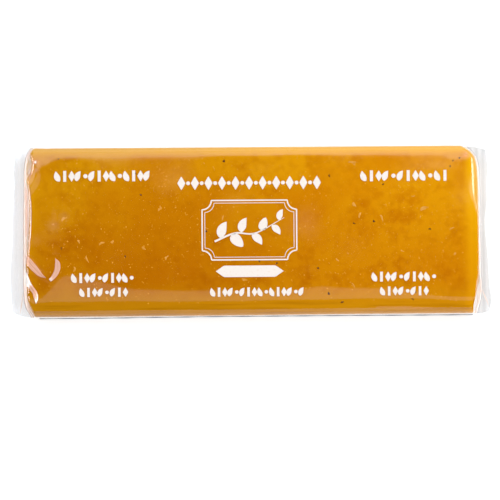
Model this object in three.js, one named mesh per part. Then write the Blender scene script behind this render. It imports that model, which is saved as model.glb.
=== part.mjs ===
// A slab of egg-yolk nougat in a tight pack of clear film, lying flat on its back.
// Millimetres. +X runs along the slab, +Y to its back edge, +Z up. The origin is on the
// underside, at the middle of the pack's box.
import * as THREE from "three";
import { mergeVertices } from "three/addons/utils/BufferGeometryUtils.js";

// The wrapped slab without its seal fins
const SLAB_HALF_WIDTH = 41.4;
const SLAB_HEIGHT = 21.5;
const TOP_EDGE_RADIUS = 3.6;
const BOTTOM_EDGE_RADIUS = 2.2;
const CORNER_RADIUS = 2.2;

// Seal fins at mid height
const FIN_LEVEL = SLAB_HEIGHT / 2;
const FIN_THICKNESS = 0.8;
const FIN_DROOP = 1.1;
const FIN_WAVE = { height: 0.5, length: 33, shift: 0.8 };

// The two ends. `root` is the line where the fin starts and `tip` its outer edge, both as [y, x]
// from back to front. From the root the film rises to the slab's edge over `slope`. The half
// widths are the film's at the root and at the tip of the fin.
const LEFT = {
  side: -1,
  slope: 2.2,
  root: [
    [42, -105.8], [36, -109.1], [30, -110.1], [16, -110.3],
    [-8, -110.5], [-28, -110.4], [-36, -109.4], [-41, -106.4],
  ],
  tip: [
    [39, -114.2], [35, -115.1], [19, -115.2], [7, -116.5],
    [-8, -117.1], [-25, -117.7], [-36, -116.9], [-39, -115.6],
  ],
  back: { root: 42.2, tip: 39.2 },
  front: { root: 41.4, tip: 38.4 },
};
const RIGHT = {
  side: 1,
  slope: 1.4,
  root: [
    [41, 103.4], [38.4, 106.5], [35, 109.2], [27, 110.5], [0, 110.7],
    [-24, 110.7], [-28, 109.9], [-33, 110.8], [-41, 109],
  ],
  tip: [
    [38, 114.9], [32, 114.4], [12, 113.7], [4, 112.7],
    [-5, 113.1], [-16, 114.5], [-32, 115.4], [-39, 115.4],
  ],
  back: { root: 41.4, tip: 39.1 },
  front: { root: 41.3, tip: 39.6 },
};

// The top rolls off to both long edges, widely along the front one
const FRONT_ROLL = { width: 15, drop: 1.9, power: 2.2 };
const BACK_ROLL = { width: 7, drop: 0.35, power: 2 };

// Long shallow waves of the hand-poured top
const TOP_WAVES = [
  { height: 0.12, length: 74, heading: 12, shift: 0.4 },
  { height: 0.1, length: 47, heading: 68, shift: 1.7 },
  { height: 0.07, length: 31, heading: -35, shift: 3.1 },
];

// Folds of slack film on the top beside the left end, as [x, y] along each ridge
const FOLDS = [
  { ridge: [[-106.6, 36.9], [-105.2, 31.8], [-105.8, 26.6], [-108.2, 21.4]], height: 0.8, width: 1.7 },
  { ridge: [[-108.4, -9.9], [-105.4, -15.4], [-101.8, -19.6]], height: 0.7, width: 1.6 },
  { ridge: [[-108.6, -17.2], [-106.2, -23.8], [-104.2, -29.4], [-105.2, -33.4]], height: 1.0, width: 1.6 },
];

// Shapes of the curves between these sizes
const SIDE_TILT_POWER = 0.7;
const RADIUS_SHARE = 0.9; // most that an edge radius takes of a thin section
const FOLD_TIP_SHARE = 0.1; // how soon a fold fades at its tips

// Faceting
const ARC_STEPS = 3;
const SIDE_STEPS = 2;
const ACROSS_STEPS = 34;
const FIN_STEPS = 3;
const SLOPE_STEPS = 3;
const FOLDED_STEPS = 9;
const FOLDED_LENGTH = 15;
const MIDDLE_STEPS = 16;
const RIDGE_SAMPLES = 24;

const clamp01 = (value) => THREE.MathUtils.clamp(value, 0, 1);
const smooth = (value) => THREE.MathUtils.smoothstep(value, 0, 1);
const { lerp } = THREE.MathUtils;

// The x of a curve through a list of [y, x], at y: cubic pieces with the slopes of their neighbours.
function readEdge(list, y) {
  const last = list.length - 1;
  const below = list.findIndex(([at]) => at <= y);
  const i = below < 0 ? last : Math.max(1, below);
  const slope = (k) => {
    const [yBefore, xBefore] = list[Math.max(0, k - 1)];
    const [yAfter, xAfter] = list[Math.min(last, k + 1)];
    return (xAfter - xBefore) / (yAfter - yBefore);
  };
  const [y0, x0] = list[i - 1];
  const [y1, x1] = list[i];
  const span = y1 - y0;
  const t = clamp01((y - y0) / span);
  const ease = t * t * (3 - 2 * t);
  const bend0 = t * (1 - t) * (1 - t) * span * slope(i - 1);
  const bend1 = t * t * (t - 1) * span * slope(i);
  return lerp(x0, x1, ease) + bend0 + bend1;
}

// How far a rounded corner stands back from the square one, at `inside` from the end.
function cornerInset(inside) {
  const share = clamp01(1 - inside / CORNER_RADIUS);
  return CORNER_RADIUS * (1 - Math.sqrt(1 - share * share));
}

// Steps of a quarter arc on one side of its 45 degree point, measured along the square edge.
function arcSteps(radius) {
  const steps = [];
  for (let i = 0; i < ARC_STEPS; i++) {
    const angle = (Math.PI / 4) * (1 - i / ARC_STEPS);
    steps.push(radius * (1 - Math.tan(angle)));
  }
  return steps;
}

// Distances from one side to the other: an arc's steps, even steps, and the other arc's steps.
function divide(from, to, radiusFrom, radiusTo, steps) {
  const marks = arcSteps(radiusFrom).map((step) => from + step);
  for (let i = 0; i <= steps; i++) {
    marks.push(lerp(from + radiusFrom, to - radiusTo, i / steps));
  }
  return [...marks, ...arcSteps(radiusTo).reverse().map((step) => to - step)];
}

// Height that a fold adds at a point of the top, fading to both tips of its ridge.
function makeFold({ ridge, height, width }) {
  const curve = new THREE.CatmullRomCurve3(ridge.map(([x, y]) => new THREE.Vector3(x, y, 0)));
  const samples = curve.getSpacedPoints(RIDGE_SAMPLES);
  const here = new THREE.Vector3();
  return (x, y) => {
    here.set(x, y, 0);
    const distances = samples.map((sample) => sample.distanceTo(here));
    const nearest = Math.min(...distances);
    const share = distances.indexOf(nearest) / RIDGE_SAMPLES;
    const fade = Math.sqrt(Math.sin(Math.PI * lerp(FOLD_TIP_SHARE, 1 - FOLD_TIP_SHARE, share)));
    return height * fade * Math.exp(-Math.pow(nearest / width, 2));
  };
}

const folds = FOLDS.map(makeFold);

function wave(x, y, { height, length, heading, shift }) {
  const angle = THREE.MathUtils.degToRad(heading);
  const along = x * Math.cos(angle) + y * Math.sin(angle);
  return height * Math.sin((2 * Math.PI * along) / length + shift);
}

// What the top adds to a flat face.
function topRelief(x, y) {
  const front = clamp01(1 - (y + SLAB_HALF_WIDTH) / FRONT_ROLL.width);
  const back = clamp01(1 - (SLAB_HALF_WIDTH - y) / BACK_ROLL.width);
  const roll =
    FRONT_ROLL.drop * Math.pow(front, FRONT_ROLL.power) +
    BACK_ROLL.drop * Math.pow(back, BACK_ROLL.power);
  const waves = TOP_WAVES.reduce((sum, one) => sum + wave(x, y, one), 0);
  return waves - roll + folds.reduce((sum, fold) => sum + fold(x, y), 0);
}

// Height above (or below) fin level at `inside` from the fin's root, for a face this far away.
function endRise(inside, slope, radius, reach) {
  if (inside < slope) {
    return lerp(FIN_THICKNESS / 2, reach - radius, inside / slope);
  }
  const left = clamp01((slope + radius - inside) / radius);
  return reach - radius * (1 - Math.sqrt(1 - left * left));
}

// One end's stations from the tip of its fin inwards. `out` is 1 at the tip and 0 at the root.
function endStations(end, foldedSteps) {
  const stations = [];
  for (let i = 0; i < FIN_STEPS; i++) {
    stations.push({ end, out: 1 - i / FIN_STEPS, inside: 0 });
  }
  for (let i = 0; i < SLOPE_STEPS; i++) {
    stations.push({ end, out: 0, inside: (end.slope * i) / SLOPE_STEPS });
  }
  for (let i = 0; i < ARC_STEPS; i++) {
    const angle = (Math.PI / 2) * (i / ARC_STEPS);
    stations.push({ end, out: 0, inside: end.slope + TOP_EDGE_RADIUS * (1 - Math.cos(angle)) });
  }
  for (let i = 0; i <= foldedSteps; i++) {
    const inside = end.slope + TOP_EDGE_RADIUS + (FOLDED_LENGTH * i) / Math.max(1, foldedSteps);
    stations.push({ end, out: 0, inside });
  }
  return stations;
}

const leftStations = endStations(LEFT, FOLDED_STEPS);
const rightStations = endStations(RIGHT, 0);

// Stations over the whole length. The middle ones share out what lies between the two ends.
function allStations() {
  const middle = [];
  for (let i = 1; i < MIDDLE_STEPS; i++) {
    middle.push({ end: null, share: i / MIDDLE_STEPS, out: 0 });
  }
  return [...leftStations, ...middle, ...rightStations.slice().reverse()];
}

function endX({ end, inside, out }, y) {
  const wall = readEdge(end.root, y) - end.side * inside;
  return lerp(wall, readEdge(end.tip, y), out);
}

function stationX(station, y) {
  if (station.end) {
    return endX(station, y);
  }
  return lerp(endX(leftStations.at(-1), y), endX(rightStations.at(-1), y), station.share);
}

// Half width of the section towards the back or the front, at fin level and at the faces.
function halfWidths({ end, inside, out }, edge) {
  if (!end) {
    return { web: SLAB_HALF_WIDTH, face: SLAB_HALF_WIDTH };
  }
  const fin = lerp(end[edge].root, end[edge].tip, out * out);
  const rooted = smooth(inside / end.slope);
  const body = SLAB_HALF_WIDTH - cornerInset(inside);
  const web = lerp(fin, SLAB_HALF_WIDTH, smooth(inside / FOLDED_LENGTH));
  return { web, face: lerp(fin, body, rooted) };
}

// The measures of one section: heights, half widths to the back and the front, and edge radii.
function measure(station) {
  const { end, inside } = station;
  const headroom = SLAB_HEIGHT - FIN_LEVEL;
  const above = end ? endRise(inside, end.slope, TOP_EDGE_RADIUS, headroom) : headroom;
  const below = end ? endRise(inside, end.slope, BOTTOM_EDGE_RADIUS, FIN_LEVEL) : FIN_LEVEL;
  return {
    station,
    top: FIN_LEVEL + above,
    bottom: FIN_LEVEL - below,
    back: halfWidths(station, "back"),
    front: halfWidths(station, "front"),
    topRadius: Math.min(TOP_EDGE_RADIUS, RADIUS_SHARE * above),
    bottomRadius: Math.min(BOTTOM_EDGE_RADIUS, RADIUS_SHARE * below),
  };
}

// Moves a point of the square section's outline onto its rounded one.
function roundOff(y, z, section, backY, frontY) {
  const radius = z > FIN_LEVEL ? section.topRadius : section.bottomRadius;
  const innerY = THREE.MathUtils.clamp(y, frontY + radius, backY - radius);
  const lowest = section.bottom + section.bottomRadius;
  const innerZ = THREE.MathUtils.clamp(z, lowest, section.top - section.topRadius);
  const off = new THREE.Vector2(y - innerY, z - innerZ);
  off.setLength(off.length() > 0 ? radius : 0);
  return [innerY + off.x, innerZ + off.y];
}

// A point of the pack, from its place in the box's grid of station, column and row.
function place(section, column, row) {
  const { top, bottom, back, front, topRadius, bottomRadius, station } = section;
  const z = divide(bottom, top, bottomRadius, topRadius, SIDE_STEPS)[row];
  const reach = z > FIN_LEVEL ? top - FIN_LEVEL : FIN_LEVEL - bottom;
  const tilt = Math.pow(clamp01(Math.abs(z - FIN_LEVEL) / reach), SIDE_TILT_POWER);
  const backY = lerp(back.web, back.face, tilt);
  const frontY = -lerp(front.web, front.face, tilt);
  const radius = z > FIN_LEVEL ? topRadius : bottomRadius;
  const y = divide(frontY, backY, radius, radius, ACROSS_STEPS)[column];
  const lastColumn = ACROSS_STEPS + 2 * ARC_STEPS;
  const lastRow = SIDE_STEPS + 2 * ARC_STEPS;
  const onRim = column === 0 || column === lastColumn || row === 0 || row === lastRow;
  const [roundY, roundZ] = onRim ? roundOff(y, z, section, backY, frontY) : [y, z];
  const x = stationX(station, roundY);
  const topShare = smooth((roundZ - FIN_LEVEL) / (SLAB_HEIGHT - FIN_LEVEL));
  const flutter = FIN_WAVE.height * Math.sin((2 * Math.PI * roundY) / FIN_WAVE.length + FIN_WAVE.shift);
  const bend = station.out * station.out * (flutter - FIN_DROOP);
  return new THREE.Vector3(x, roundY, roundZ + topShare * topRelief(x, roundY) + bend);
}

// A box whose grid is carried, point by point, onto the pack's outer face.
function packGeometry() {
  const sections = allStations().map(measure);
  const along = sections.length - 1;
  const across = ACROSS_STEPS + 2 * ARC_STEPS;
  const up = SIDE_STEPS + 2 * ARC_STEPS;
  const box = new THREE.BoxGeometry(along, across, up, along, across, up);
  box.deleteAttribute("normal");
  box.deleteAttribute("uv");
  const geometry = mergeVertices(box, 1e-3);
  const position = geometry.attributes.position;
  for (let i = 0; i < position.count; i++) {
    const station = Math.round(position.getX(i) + along / 2);
    const column = Math.round(position.getY(i) + across / 2);
    const row = Math.round(position.getZ(i) + up / 2);
    const point = place(sections[station], column, row);
    position.setXYZ(i, point.x, point.y, point.z);
  }
  geometry.computeVertexNormals();
  return geometry;
}

const amberUnderFilm = new THREE.MeshStandardMaterial({ color: 0xd68a12, roughness: 0.18, metalness: 0 });

const pack = new THREE.Mesh(packGeometry(), amberUnderFilm);
pack.name = "film_wrapped_slab";

const nougat = new THREE.Group();
nougat.add(pack);

const bounds = new THREE.Box3().setFromObject(pack);
const middle = bounds.getCenter(new THREE.Vector3());
pack.position.set(-middle.x, -middle.y, -bounds.min.z);

export default nougat;
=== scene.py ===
"""A slab of egg-yolk nougat in a tight pack of clear film, lying flat on a white table.

Shapes are worked out in millimetres in the slab's own design frame: +X along the slab, +Y to its
back edge, +Z up, with the middle of the slab at the origin. Meshes are moved to the part's frame
and scaled to metres when they are made.
"""

import logging
import math
from collections.abc import Callable
from dataclasses import dataclass, field
from enum import Enum
from functools import reduce

import bmesh
import bpy
import numpy as np
from mathutils import Matrix, Vector


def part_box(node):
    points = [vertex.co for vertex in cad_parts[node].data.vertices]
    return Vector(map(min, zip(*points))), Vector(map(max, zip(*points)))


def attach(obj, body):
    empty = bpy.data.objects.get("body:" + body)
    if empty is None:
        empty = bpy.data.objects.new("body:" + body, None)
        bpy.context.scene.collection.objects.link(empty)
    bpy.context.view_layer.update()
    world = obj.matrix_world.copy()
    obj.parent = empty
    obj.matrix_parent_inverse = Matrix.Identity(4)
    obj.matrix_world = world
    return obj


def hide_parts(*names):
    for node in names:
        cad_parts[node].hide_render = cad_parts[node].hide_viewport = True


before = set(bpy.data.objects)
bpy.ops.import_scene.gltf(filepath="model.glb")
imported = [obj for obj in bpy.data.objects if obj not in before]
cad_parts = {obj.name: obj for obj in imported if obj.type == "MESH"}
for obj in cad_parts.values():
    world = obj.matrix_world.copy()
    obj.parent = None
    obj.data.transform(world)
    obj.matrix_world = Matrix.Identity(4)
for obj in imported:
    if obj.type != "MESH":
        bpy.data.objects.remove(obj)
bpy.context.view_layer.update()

PACK_NODE = "film_wrapped_slab"
BODY = "root"
MM = 0.001

PACK_REACH = (-117.70, 115.44, -41.4, 42.2)
SLAB_HALF_WIDTH = 41.4
SLAB_HEIGHT = 21.5
TOP_EDGE_RADIUS = 3.6
BOTTOM_EDGE_RADIUS = 2.2
CORNER_RADIUS = 2.2
FOLDED_LENGTH = 15.0
FIN_LEVEL = SLAB_HEIGHT / 2
FILM_GAP = 0.3

Points = tuple[tuple[float, float], ...]
Reach = tuple[float, ...]
Panel = tuple[Reach, float]

log = logging.getLogger("nougat_slab")


class Slot(Enum):
    """Material slots of the part's record."""

    FILM = "clear_film"
    NOUGAT = "toasted_nougat"
    PRINT = "white_print"


class Motif(Enum):
    """Shapes of the ornament printed on the film."""

    LEAF = "leaf"
    ALMOND = "almond"
    DIAMOND = "diamond"
    BEAD = "bead"
    BAR = "bar"


class Fleck(Enum):
    """What is scattered in the top of the nougat."""

    SLIVER = "almond_slivers"
    SPECK = "toasted_specks"
    CRUMB = "yolk_crumbs"


# Curves and steps


def smooth(value: np.ndarray) -> np.ndarray:
    """Ease from 0 to 1, flat at both ends."""
    held = np.clip(value, 0.0, 1.0)
    return held * held * (3.0 - 2.0 * held)


def mix(start: np.ndarray, stop: np.ndarray, share: np.ndarray) -> np.ndarray:
    """Straight blend from start to stop."""
    return start + (stop - start) * share


def read_edge(points: Points, y: np.ndarray) -> np.ndarray:
    """Read a smooth line that is given as pairs of a place and a value.

    Args:
        points: the line's pairs, in order of place.
        y: where to read it.

    Returns:
        The line's value at each place.
    """
    ys, xs = np.array(sorted(points)).T
    slope = np.empty_like(xs)
    slope[1:-1] = (xs[2:] - xs[:-2]) / (ys[2:] - ys[:-2])
    slope[0] = (xs[1] - xs[0]) / (ys[1] - ys[0])
    slope[-1] = (xs[-1] - xs[-2]) / (ys[-1] - ys[-2])
    right = np.clip(np.searchsorted(ys, y), 1, len(ys) - 1)
    left = right - 1
    span = ys[right] - ys[left]
    t = np.clip((y - ys[left]) / span, 0.0, 1.0)
    bend = t * (1 - t) ** 2 * span * slope[left] + t * t * (t - 1) * span * slope[right]
    return mix(xs[left], xs[right], smooth(t)) + bend


def even_steps(line: np.ndarray, count: int) -> np.ndarray:
    """Take `count` points at even spacing along a line of (x, y) points."""
    length = np.concatenate([[0.0], np.cumsum(np.linalg.norm(np.diff(line, axis=0), axis=1))])
    even = np.linspace(0.0, length[-1], count)
    return np.column_stack([np.interp(even, length, line[:, k]) for k in (0, 1)])


def smooth_path(points: Points, count: int) -> np.ndarray:
    """Pass a smooth curve through a few points.

    Args:
        points: (x, y) corners of the curve.
        count: how many points to return, evenly spaced along it.

    Returns:
        Array of count (x, y) points.
    """
    corners = np.array(points, float)
    padded = np.vstack([2 * corners[0] - corners[1], corners, 2 * corners[-1] - corners[-2]])
    t = np.linspace(0.0, 1.0, 16, endpoint=False)[:, None]
    runs = []
    for a, b, c, d in zip(padded, padded[1:], padded[2:], padded[3:]):
        cubic = 2 * b + (c - a) * t + (2 * a - 5 * b + 4 * c - d) * t**2
        runs.append(0.5 * (cubic + (3 * b - a - 3 * c + d) * t**3))
    return even_steps(np.vstack([*runs, corners[-1:]]), count)


@dataclass(frozen=True)
class Divider:
    """Marks across a rounded face: an arc's steps, even steps, and another arc's steps."""

    steps: int
    arc: int

    @property
    def count(self) -> int:
        """Number of the last mark."""
        return self.steps + 2 * self.arc

    def marks(self, start: np.ndarray, stop: np.ndarray, first: np.ndarray, last: np.ndarray,
              index: np.ndarray) -> np.ndarray:
        """Place marks between start and stop.

        Args:
            start: where the face begins.
            stop: where the face ends.
            first: radius of the edge at start.
            last: radius of the edge at stop.
            index: number of each mark wanted.

        Returns:
            The marks' places on the square face.
        """
        nearer = np.clip(index, 0, self.arc)
        farther = np.clip(self.count - index, 0, self.arc)
        begin = 1 - np.tan(math.pi / 4 * (1 - nearer / self.arc))
        finish = 1 - np.tan(math.pi / 4 * (1 - farther / self.arc))
        share = np.clip((index - self.arc) / self.steps, 0.0, 1.0)
        inner = mix(start + first, stop - last, share)
        low = start + first * begin
        high = stop - last * finish
        return np.where(index < self.arc, low, np.where(index > self.count - self.arc, high, inner))


# Form of the film


@dataclass(frozen=True)
class FilmEnd:
    """One end of the pack: where its seal fin starts and stops, and how the film climbs to the top.

    The lines are (y, x) points from back to front. `crest` is where the climbing film meets the top,
    and `edge_share` how wide the rounded edge above it is, as a share of `edge_radius`.
    """

    side: int
    slope: float
    edge_radius: float
    root: Points
    tip: Points
    crest: Points
    edge_share: Points
    back: tuple[float, float]
    front: tuple[float, float]
    fin_wave: tuple[float, float, float]

    @property
    def flat(self) -> float:
        """How far inside the root the folded stretch ends."""
        return self.slope + self.edge_radius + FOLDED_LENGTH

    def climb(self, y: np.ndarray) -> np.ndarray:
        """Width of the climbing film at y."""
        return np.clip(self.side * (read_edge(self.root, y) - read_edge(self.crest, y)), 0.25, 5.0)

    def knots(self, y: np.ndarray) -> tuple[np.ndarray, np.ndarray, np.ndarray]:
        """Depths inside the root where climb, rounded edge and folded stretch end, at each y."""
        climb = self.climb(y)
        edge = climb + self.edge_radius * read_edge(self.edge_share, y)
        return climb, edge, np.full_like(climb, self.flat)

    def depth(self, inside: float, y: np.ndarray) -> np.ndarray:
        """Depth inside the root, at each y, of a section that is numbered by `inside`."""
        climb, edge, flat = self.knots(y)
        if inside < self.slope:
            return climb * inside / self.slope
        if inside < self.slope + self.edge_radius:
            return mix(climb, edge, (inside - self.slope) / self.edge_radius)
        return mix(edge, flat, (inside - self.slope - self.edge_radius) / FOLDED_LENGTH)

    def section(self, depth: np.ndarray, y: np.ndarray) -> np.ndarray:
        """The `inside` number of the section that lies at a depth inside the root."""
        climb, edge, flat = self.knots(y)
        climbing = self.slope * np.clip(depth / climb, 0, 1)
        rounding = self.edge_radius * np.clip((depth - climb) / (edge - climb), 0, 1)
        return climbing + rounding + FOLDED_LENGTH * np.clip((depth - edge) / (flat - edge), 0, 1)


LEFT_END = FilmEnd(
    side=-1,
    slope=2.2,
    edge_radius=1.5,
    root=((42, -106.5), (39.5, -108.2), (36, -109.4), (30, -110.1), (16, -110.3),
          (-8, -110.5), (-28, -110.4), (-36, -109.4), (-41, -106.4)),
    tip=((41, -113.2), (38.5, -115.0), (35, -116.0), (23, -116.0), (16, -116.3), (6, -117.0),
         (-4, -117.1), (-13, -117.7), (-23, -118.0), (-30, -117.7), (-36, -117.3), (-39, -116.2)),
    crest=((42, -105.9), (39.5, -107.4), (37.5, -107.8), (33.1, -107.0), (29.2, -107.9), (25.8, -109.6),
           (19.9, -109.0), (12.6, -108.6), (2.9, -108.5), (-4.4, -108.8), (-10.2, -109.4),
           (-15.1, -110.1), (-19, -109.9), (-26, -109.7), (-33, -109.2), (-41, -106.1)),
    edge_share=((42, 1.0), (-42, 1.0)),
    back=(42.2, 40.2),
    front=(41.4, 38.8),
    fin_wave=(0.03, 33.0, 0.8),
)
RIGHT_END = FilmEnd(
    side=1,
    slope=1.4,
    edge_radius=4.0,
    root=((41, 104.2), (38.4, 107.6), (35, 109.8), (27, 110.9), (0, 111.3),
          (-22, 111.5), (-26, 111.9), (-33, 111.2), (-41, 109.2)),
    tip=((39, 114.6), (34, 115.3), (22, 115.1), (14, 115.0), (4.5, 113.9), (-5, 114.5),
         (-15, 115.3), (-25, 115.8), (-32, 116.5), (-37, 116.4), (-40, 115.4)),
    crest=((41, 103.6), (38.4, 107.0), (35, 109.3), (27, 110.4), (0, 110.9),
           (-22, 110.8), (-27, 109.9), (-33, 109.4), (-41, 108.2)),
    edge_share=((41, 0.5), (36, 0.6), (33, 0.9), (28, 1.15), (22, 1.2), (18, 1.0), (13, 0.5), (8, 0.22),
                (-42, 0.22)),
    back=(41.4, 39.6),
    front=(41.3, 40.2),
    fin_wave=(0.03, 33.0, 0.8),
)


@dataclass(frozen=True)
class Ridge:
    """A raised fold of slack film, steeper on one side than on the other, along which a highlight may be
    painted.
    """

    path: Points
    height: float
    left: float
    right: float
    haze_and_highlight: float = 0.0
    tip_share: float = 0.1

    def rise(self, x: np.ndarray, y: np.ndarray) -> np.ndarray:
        """Height that the fold adds at each (x, y)."""
        return self.height * self.profile(x, y)

    def profile(self, x: np.ndarray, y: np.ndarray) -> np.ndarray:
        """How near the fold's line each place is.

        Args:
            x: places along the slab.
            y: places across the slab.

        Returns:
            1 on the line, falling to 0 beside it and at its tips.
        """
        samples = smooth_path(self.path, 40)
        tangent = np.gradient(samples, axis=0)
        reach = 3.5 * max(self.left, self.right)
        near = (
            (x > samples[:, 0].min() - reach) & (x < samples[:, 0].max() + reach)
            & (y > samples[:, 1].min() - reach) & (y < samples[:, 1].max() + reach)
        )
        profile = np.zeros_like(x)
        if not near.any():
            return profile
        spots = np.column_stack([x[near], y[near]])
        gap = spots[:, None, :] - samples[None, :, :]
        distance = np.linalg.norm(gap, axis=2)
        nearest = distance.argmin(axis=1)
        rows = np.arange(len(spots))
        off = gap[rows, nearest]
        way = tangent[nearest]
        on_left = way[:, 0] * off[:, 1] - way[:, 1] * off[:, 0] > 0
        width = np.where(on_left, self.left, self.right)
        share = nearest / (len(samples) - 1)
        fade = np.sqrt(np.sin(math.pi * mix(self.tip_share, 1 - self.tip_share, share)))
        profile[near] = fade * np.exp(-((distance[rows, nearest] / width) ** 2))
        return profile


@dataclass(frozen=True)
class Fall:
    """How the top falls to one long edge: gently from a wandering line, then in a tighter roll."""

    side: int
    start: Points
    slope: float
    roll: tuple[float, float, float]
    softness: float = 0.8

    def drop(self, x: np.ndarray, y: np.ndarray) -> np.ndarray:
        """How far the top has fallen at each (x, y)."""
        past = self.side * (y - read_edge(self.start, x))
        gentle = self.slope * self.softness * np.logaddexp(0.0, past / self.softness)
        width, depth, power = self.roll
        return gentle + depth * np.clip(1 - (SLAB_HALF_WIDTH - self.side * y) / width, 0, 1) ** power


@dataclass(frozen=True)
class Swell:
    """A low mound of the top, with its own width to the left and right, to the front and back."""

    x: float
    y: float
    length: float
    front: float
    back: float
    height: float

    def rise(self, x: np.ndarray, y: np.ndarray) -> np.ndarray:
        """Height that the mound adds at each (x, y)."""
        width = np.where(y < self.y, self.front, self.back)
        return self.height * np.exp(-(((x - self.x) / self.length) ** 2) - ((y - self.y) / width) ** 2)


@dataclass(frozen=True)
class FilmForm:
    """The closed outer face of the film, as one grid carried round the slab."""

    front_fall: Fall = Fall(
        -1,
        ((-110, -34.0), (-103, -33.0), (-97, -27.5), (-91.5, -22.3), (-87, -21.8), (-78, -23.5),
         (-68, -26.0), (-60, -28.2), (-45, -28.4), (-25, -28.8), (0, -29.2), (24, -29.4),
         (34, -27.6), (45, -28.4), (60, -28.8), (72, -28.6), (80, -30.0), (88, -33.0), (98, -34.8),
         (110, -34.8)),
        0.06, (9.0, 1.1, 1.8),
    )
    back_fall: Fall = Fall(
        1,
        ((-110, 38.5), (-106, 37.0), (-101.5, 33.4), (-97, 35.2), (-93, 36.3), (-74, 36.8),
         (-35, 37.0), (-1, 37.6), (22, 38.3), (45, 38.2), (60, 37.6), (77, 37.4), (89, 37.2),
         (94, 36.3), (98, 35.0), (104, 35.0), (108, 37.0)),
        0.055, (5.0, 0.2, 2.0),
    )
    swells: tuple[Swell, ...] = (
        Swell(-20.2, -18.5, 11.0, 5.5, 16.0, 0.12),
        Swell(29.5, -13.0, 7.0, 7.5, 18.0, 0.14),
        Swell(95.5, -18.5, 9.0, 8.5, 22.0, 0.18),
        Swell(-96.4, 5.4, 2.2, 2.4, 5.5, 0.075),
        Swell(-91.4, 9.8, 2.0, 2.2, 5.0, 0.05),
        Swell(-99.0, 19.0, 1.6, 8.0, 16.0, 0.09),
        Swell(-105.4, -8.2, 3.2, 2.2, 5.0, 0.06),
        Swell(8.5, 27.5, 12.0, 14.0, 4.5, 0.05),
        Swell(93.0, 28.5, 9.0, 14.0, 4.5, 0.07),
    )
    waves: tuple[tuple[float, float, float, float], ...] = (
        (0.10, 74.0, 12.0, 0.4),
        (0.05, 47.0, 68.0, 1.7),
        (0.03, 31.0, -35.0, 3.1),
    )
    folds: tuple[Ridge, ...] = (
        Ridge(((-106.2, 36.9), (-104.6, 31.8), (-105.2, 26.6), (-107.8, 21.4)), 0.5, 1.7, 1.6),
        Ridge(((-110.2, -10.6), (-105.4, -17.9), (-100.2, -22.2)), 0.08, 2.0, 1.8),
        Ridge(((-95.5, -11.8), (-94.4, -15.4), (-94.6, -18.0), (-95.8, -20.6), (-98.5, -23.5)),
              0.05, 2.0, 1.8),
        # A low fold near the front edge, with a painted highlight line along it.
        Ridge(((60.0, -37.5), (74.0, -37.8), (88.0, -38.3)), 0.04, 0.5, 0.5, haze_and_highlight=0.15),
    )
    crease_edge: tuple[float, float] = (0.28, 0.4)
    front_inset: Points = ((-118, 0.3), (-80, 0.35), (-20, 0.45), (60, 0.8), (118, 0.8))
    front_lean: Points = ((-118, 0.15), (-80, 0.15), (-20, 0.45), (60, 0.2), (118, 0.2))
    fin_half: float = 0.09
    fin_droop: float = 0.3
    side_tilt_power: float = 0.7
    radius_share: float = 0.9
    across: Divider = Divider(160, 5)
    up: Divider = Divider(8, 5)
    fin_steps: int = 12
    slope_steps: int = 8
    edge_steps: int = 7
    folded_steps: tuple[int, int] = (42, 20)
    middle_steps: int = 96

    def relief(self, x: np.ndarray, y: np.ndarray) -> np.ndarray:
        """What the top adds to a flat face at each (x, y)."""
        total = -self.front_fall.drop(x, y) - self.back_fall.drop(x, y)
        for swell in self.swells:
            total = total + swell.rise(x, y)
        for height, length, heading, shift in self.waves:
            angle = math.radians(heading)
            along = x * math.cos(angle) + y * math.sin(angle)
            total = total + height * np.sin(2 * math.pi * along / length + shift)
        return total

    def top(self, x: np.ndarray, y: np.ndarray) -> np.ndarray:
        """Height of the film's flat top at each (x, y), without its folds."""
        return SLAB_HEIGHT + self.relief(x, y)

    def surface(self, end: FilmEnd, x: np.ndarray, y: np.ndarray) -> np.ndarray:
        """Height of the film near one end, with its climb, rounded edge and folds."""
        inside = end.section(end.side * (read_edge(end.root, y) - x), y)
        above = self.rise(inside, end.slope, end.edge_radius, SLAB_HEIGHT - FIN_LEVEL)
        relief = self.relief(x, y) + sum(fold.rise(x, y) for fold in self.folds)
        return FIN_LEVEL + above + smooth(above / (SLAB_HEIGHT - FIN_LEVEL)) * relief

    def underside(self, end: FilmEnd, x: np.ndarray, y: np.ndarray) -> np.ndarray:
        """Height of the film's lower face near one end."""
        inside = end.section(end.side * (read_edge(end.root, y) - x), y)
        return FIN_LEVEL - self.rise(inside, end.slope, BOTTOM_EDGE_RADIUS, FIN_LEVEL)

    def draw_in(self, points: np.ndarray) -> np.ndarray:
        """Draw the front edge in a little, and its foot a little more."""
        x, y, z = points.T
        foot = np.clip(1 - z / 16.0, 0.0, 1.0)
        shift = read_edge(self.front_inset, x) + foot * read_edge(self.front_lean, x)
        return np.column_stack([x, y + shift * smooth((-y - 30.0) / 8.0), z])

    def stations(self) -> list[tuple[FilmEnd | None, float, float, float]]:
        """Sections from the left fin's tip to the right one's.

        Returns:
            For each section its end, how far inside the fin's root it is, how far out on the fin
            as a share, and its share of the middle.
        """
        runs = []
        for end, folded in zip((LEFT_END, RIGHT_END), self.folded_steps):
            run = [(end, 0.0, 1 - i / self.fin_steps, 0.0) for i in range(self.fin_steps)]
            run += [(end, end.slope * i / self.slope_steps, 0.0, 0.0) for i in range(self.slope_steps)]
            for i in range(self.edge_steps):
                turn = 1 - math.cos(math.pi / 2 * i / self.edge_steps)
                run.append((end, end.slope + end.edge_radius * turn, 0.0, 0.0))
            flat = end.slope + end.edge_radius
            run += [(end, flat + FOLDED_LENGTH * i / folded, 0.0, 0.0) for i in range(folded + 1)]
            runs.append(run)
        middle = [(None, 0.0, 0.0, i / self.middle_steps) for i in range(1, self.middle_steps)]
        return [*runs[0], *middle, *runs[1][::-1]]

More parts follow.
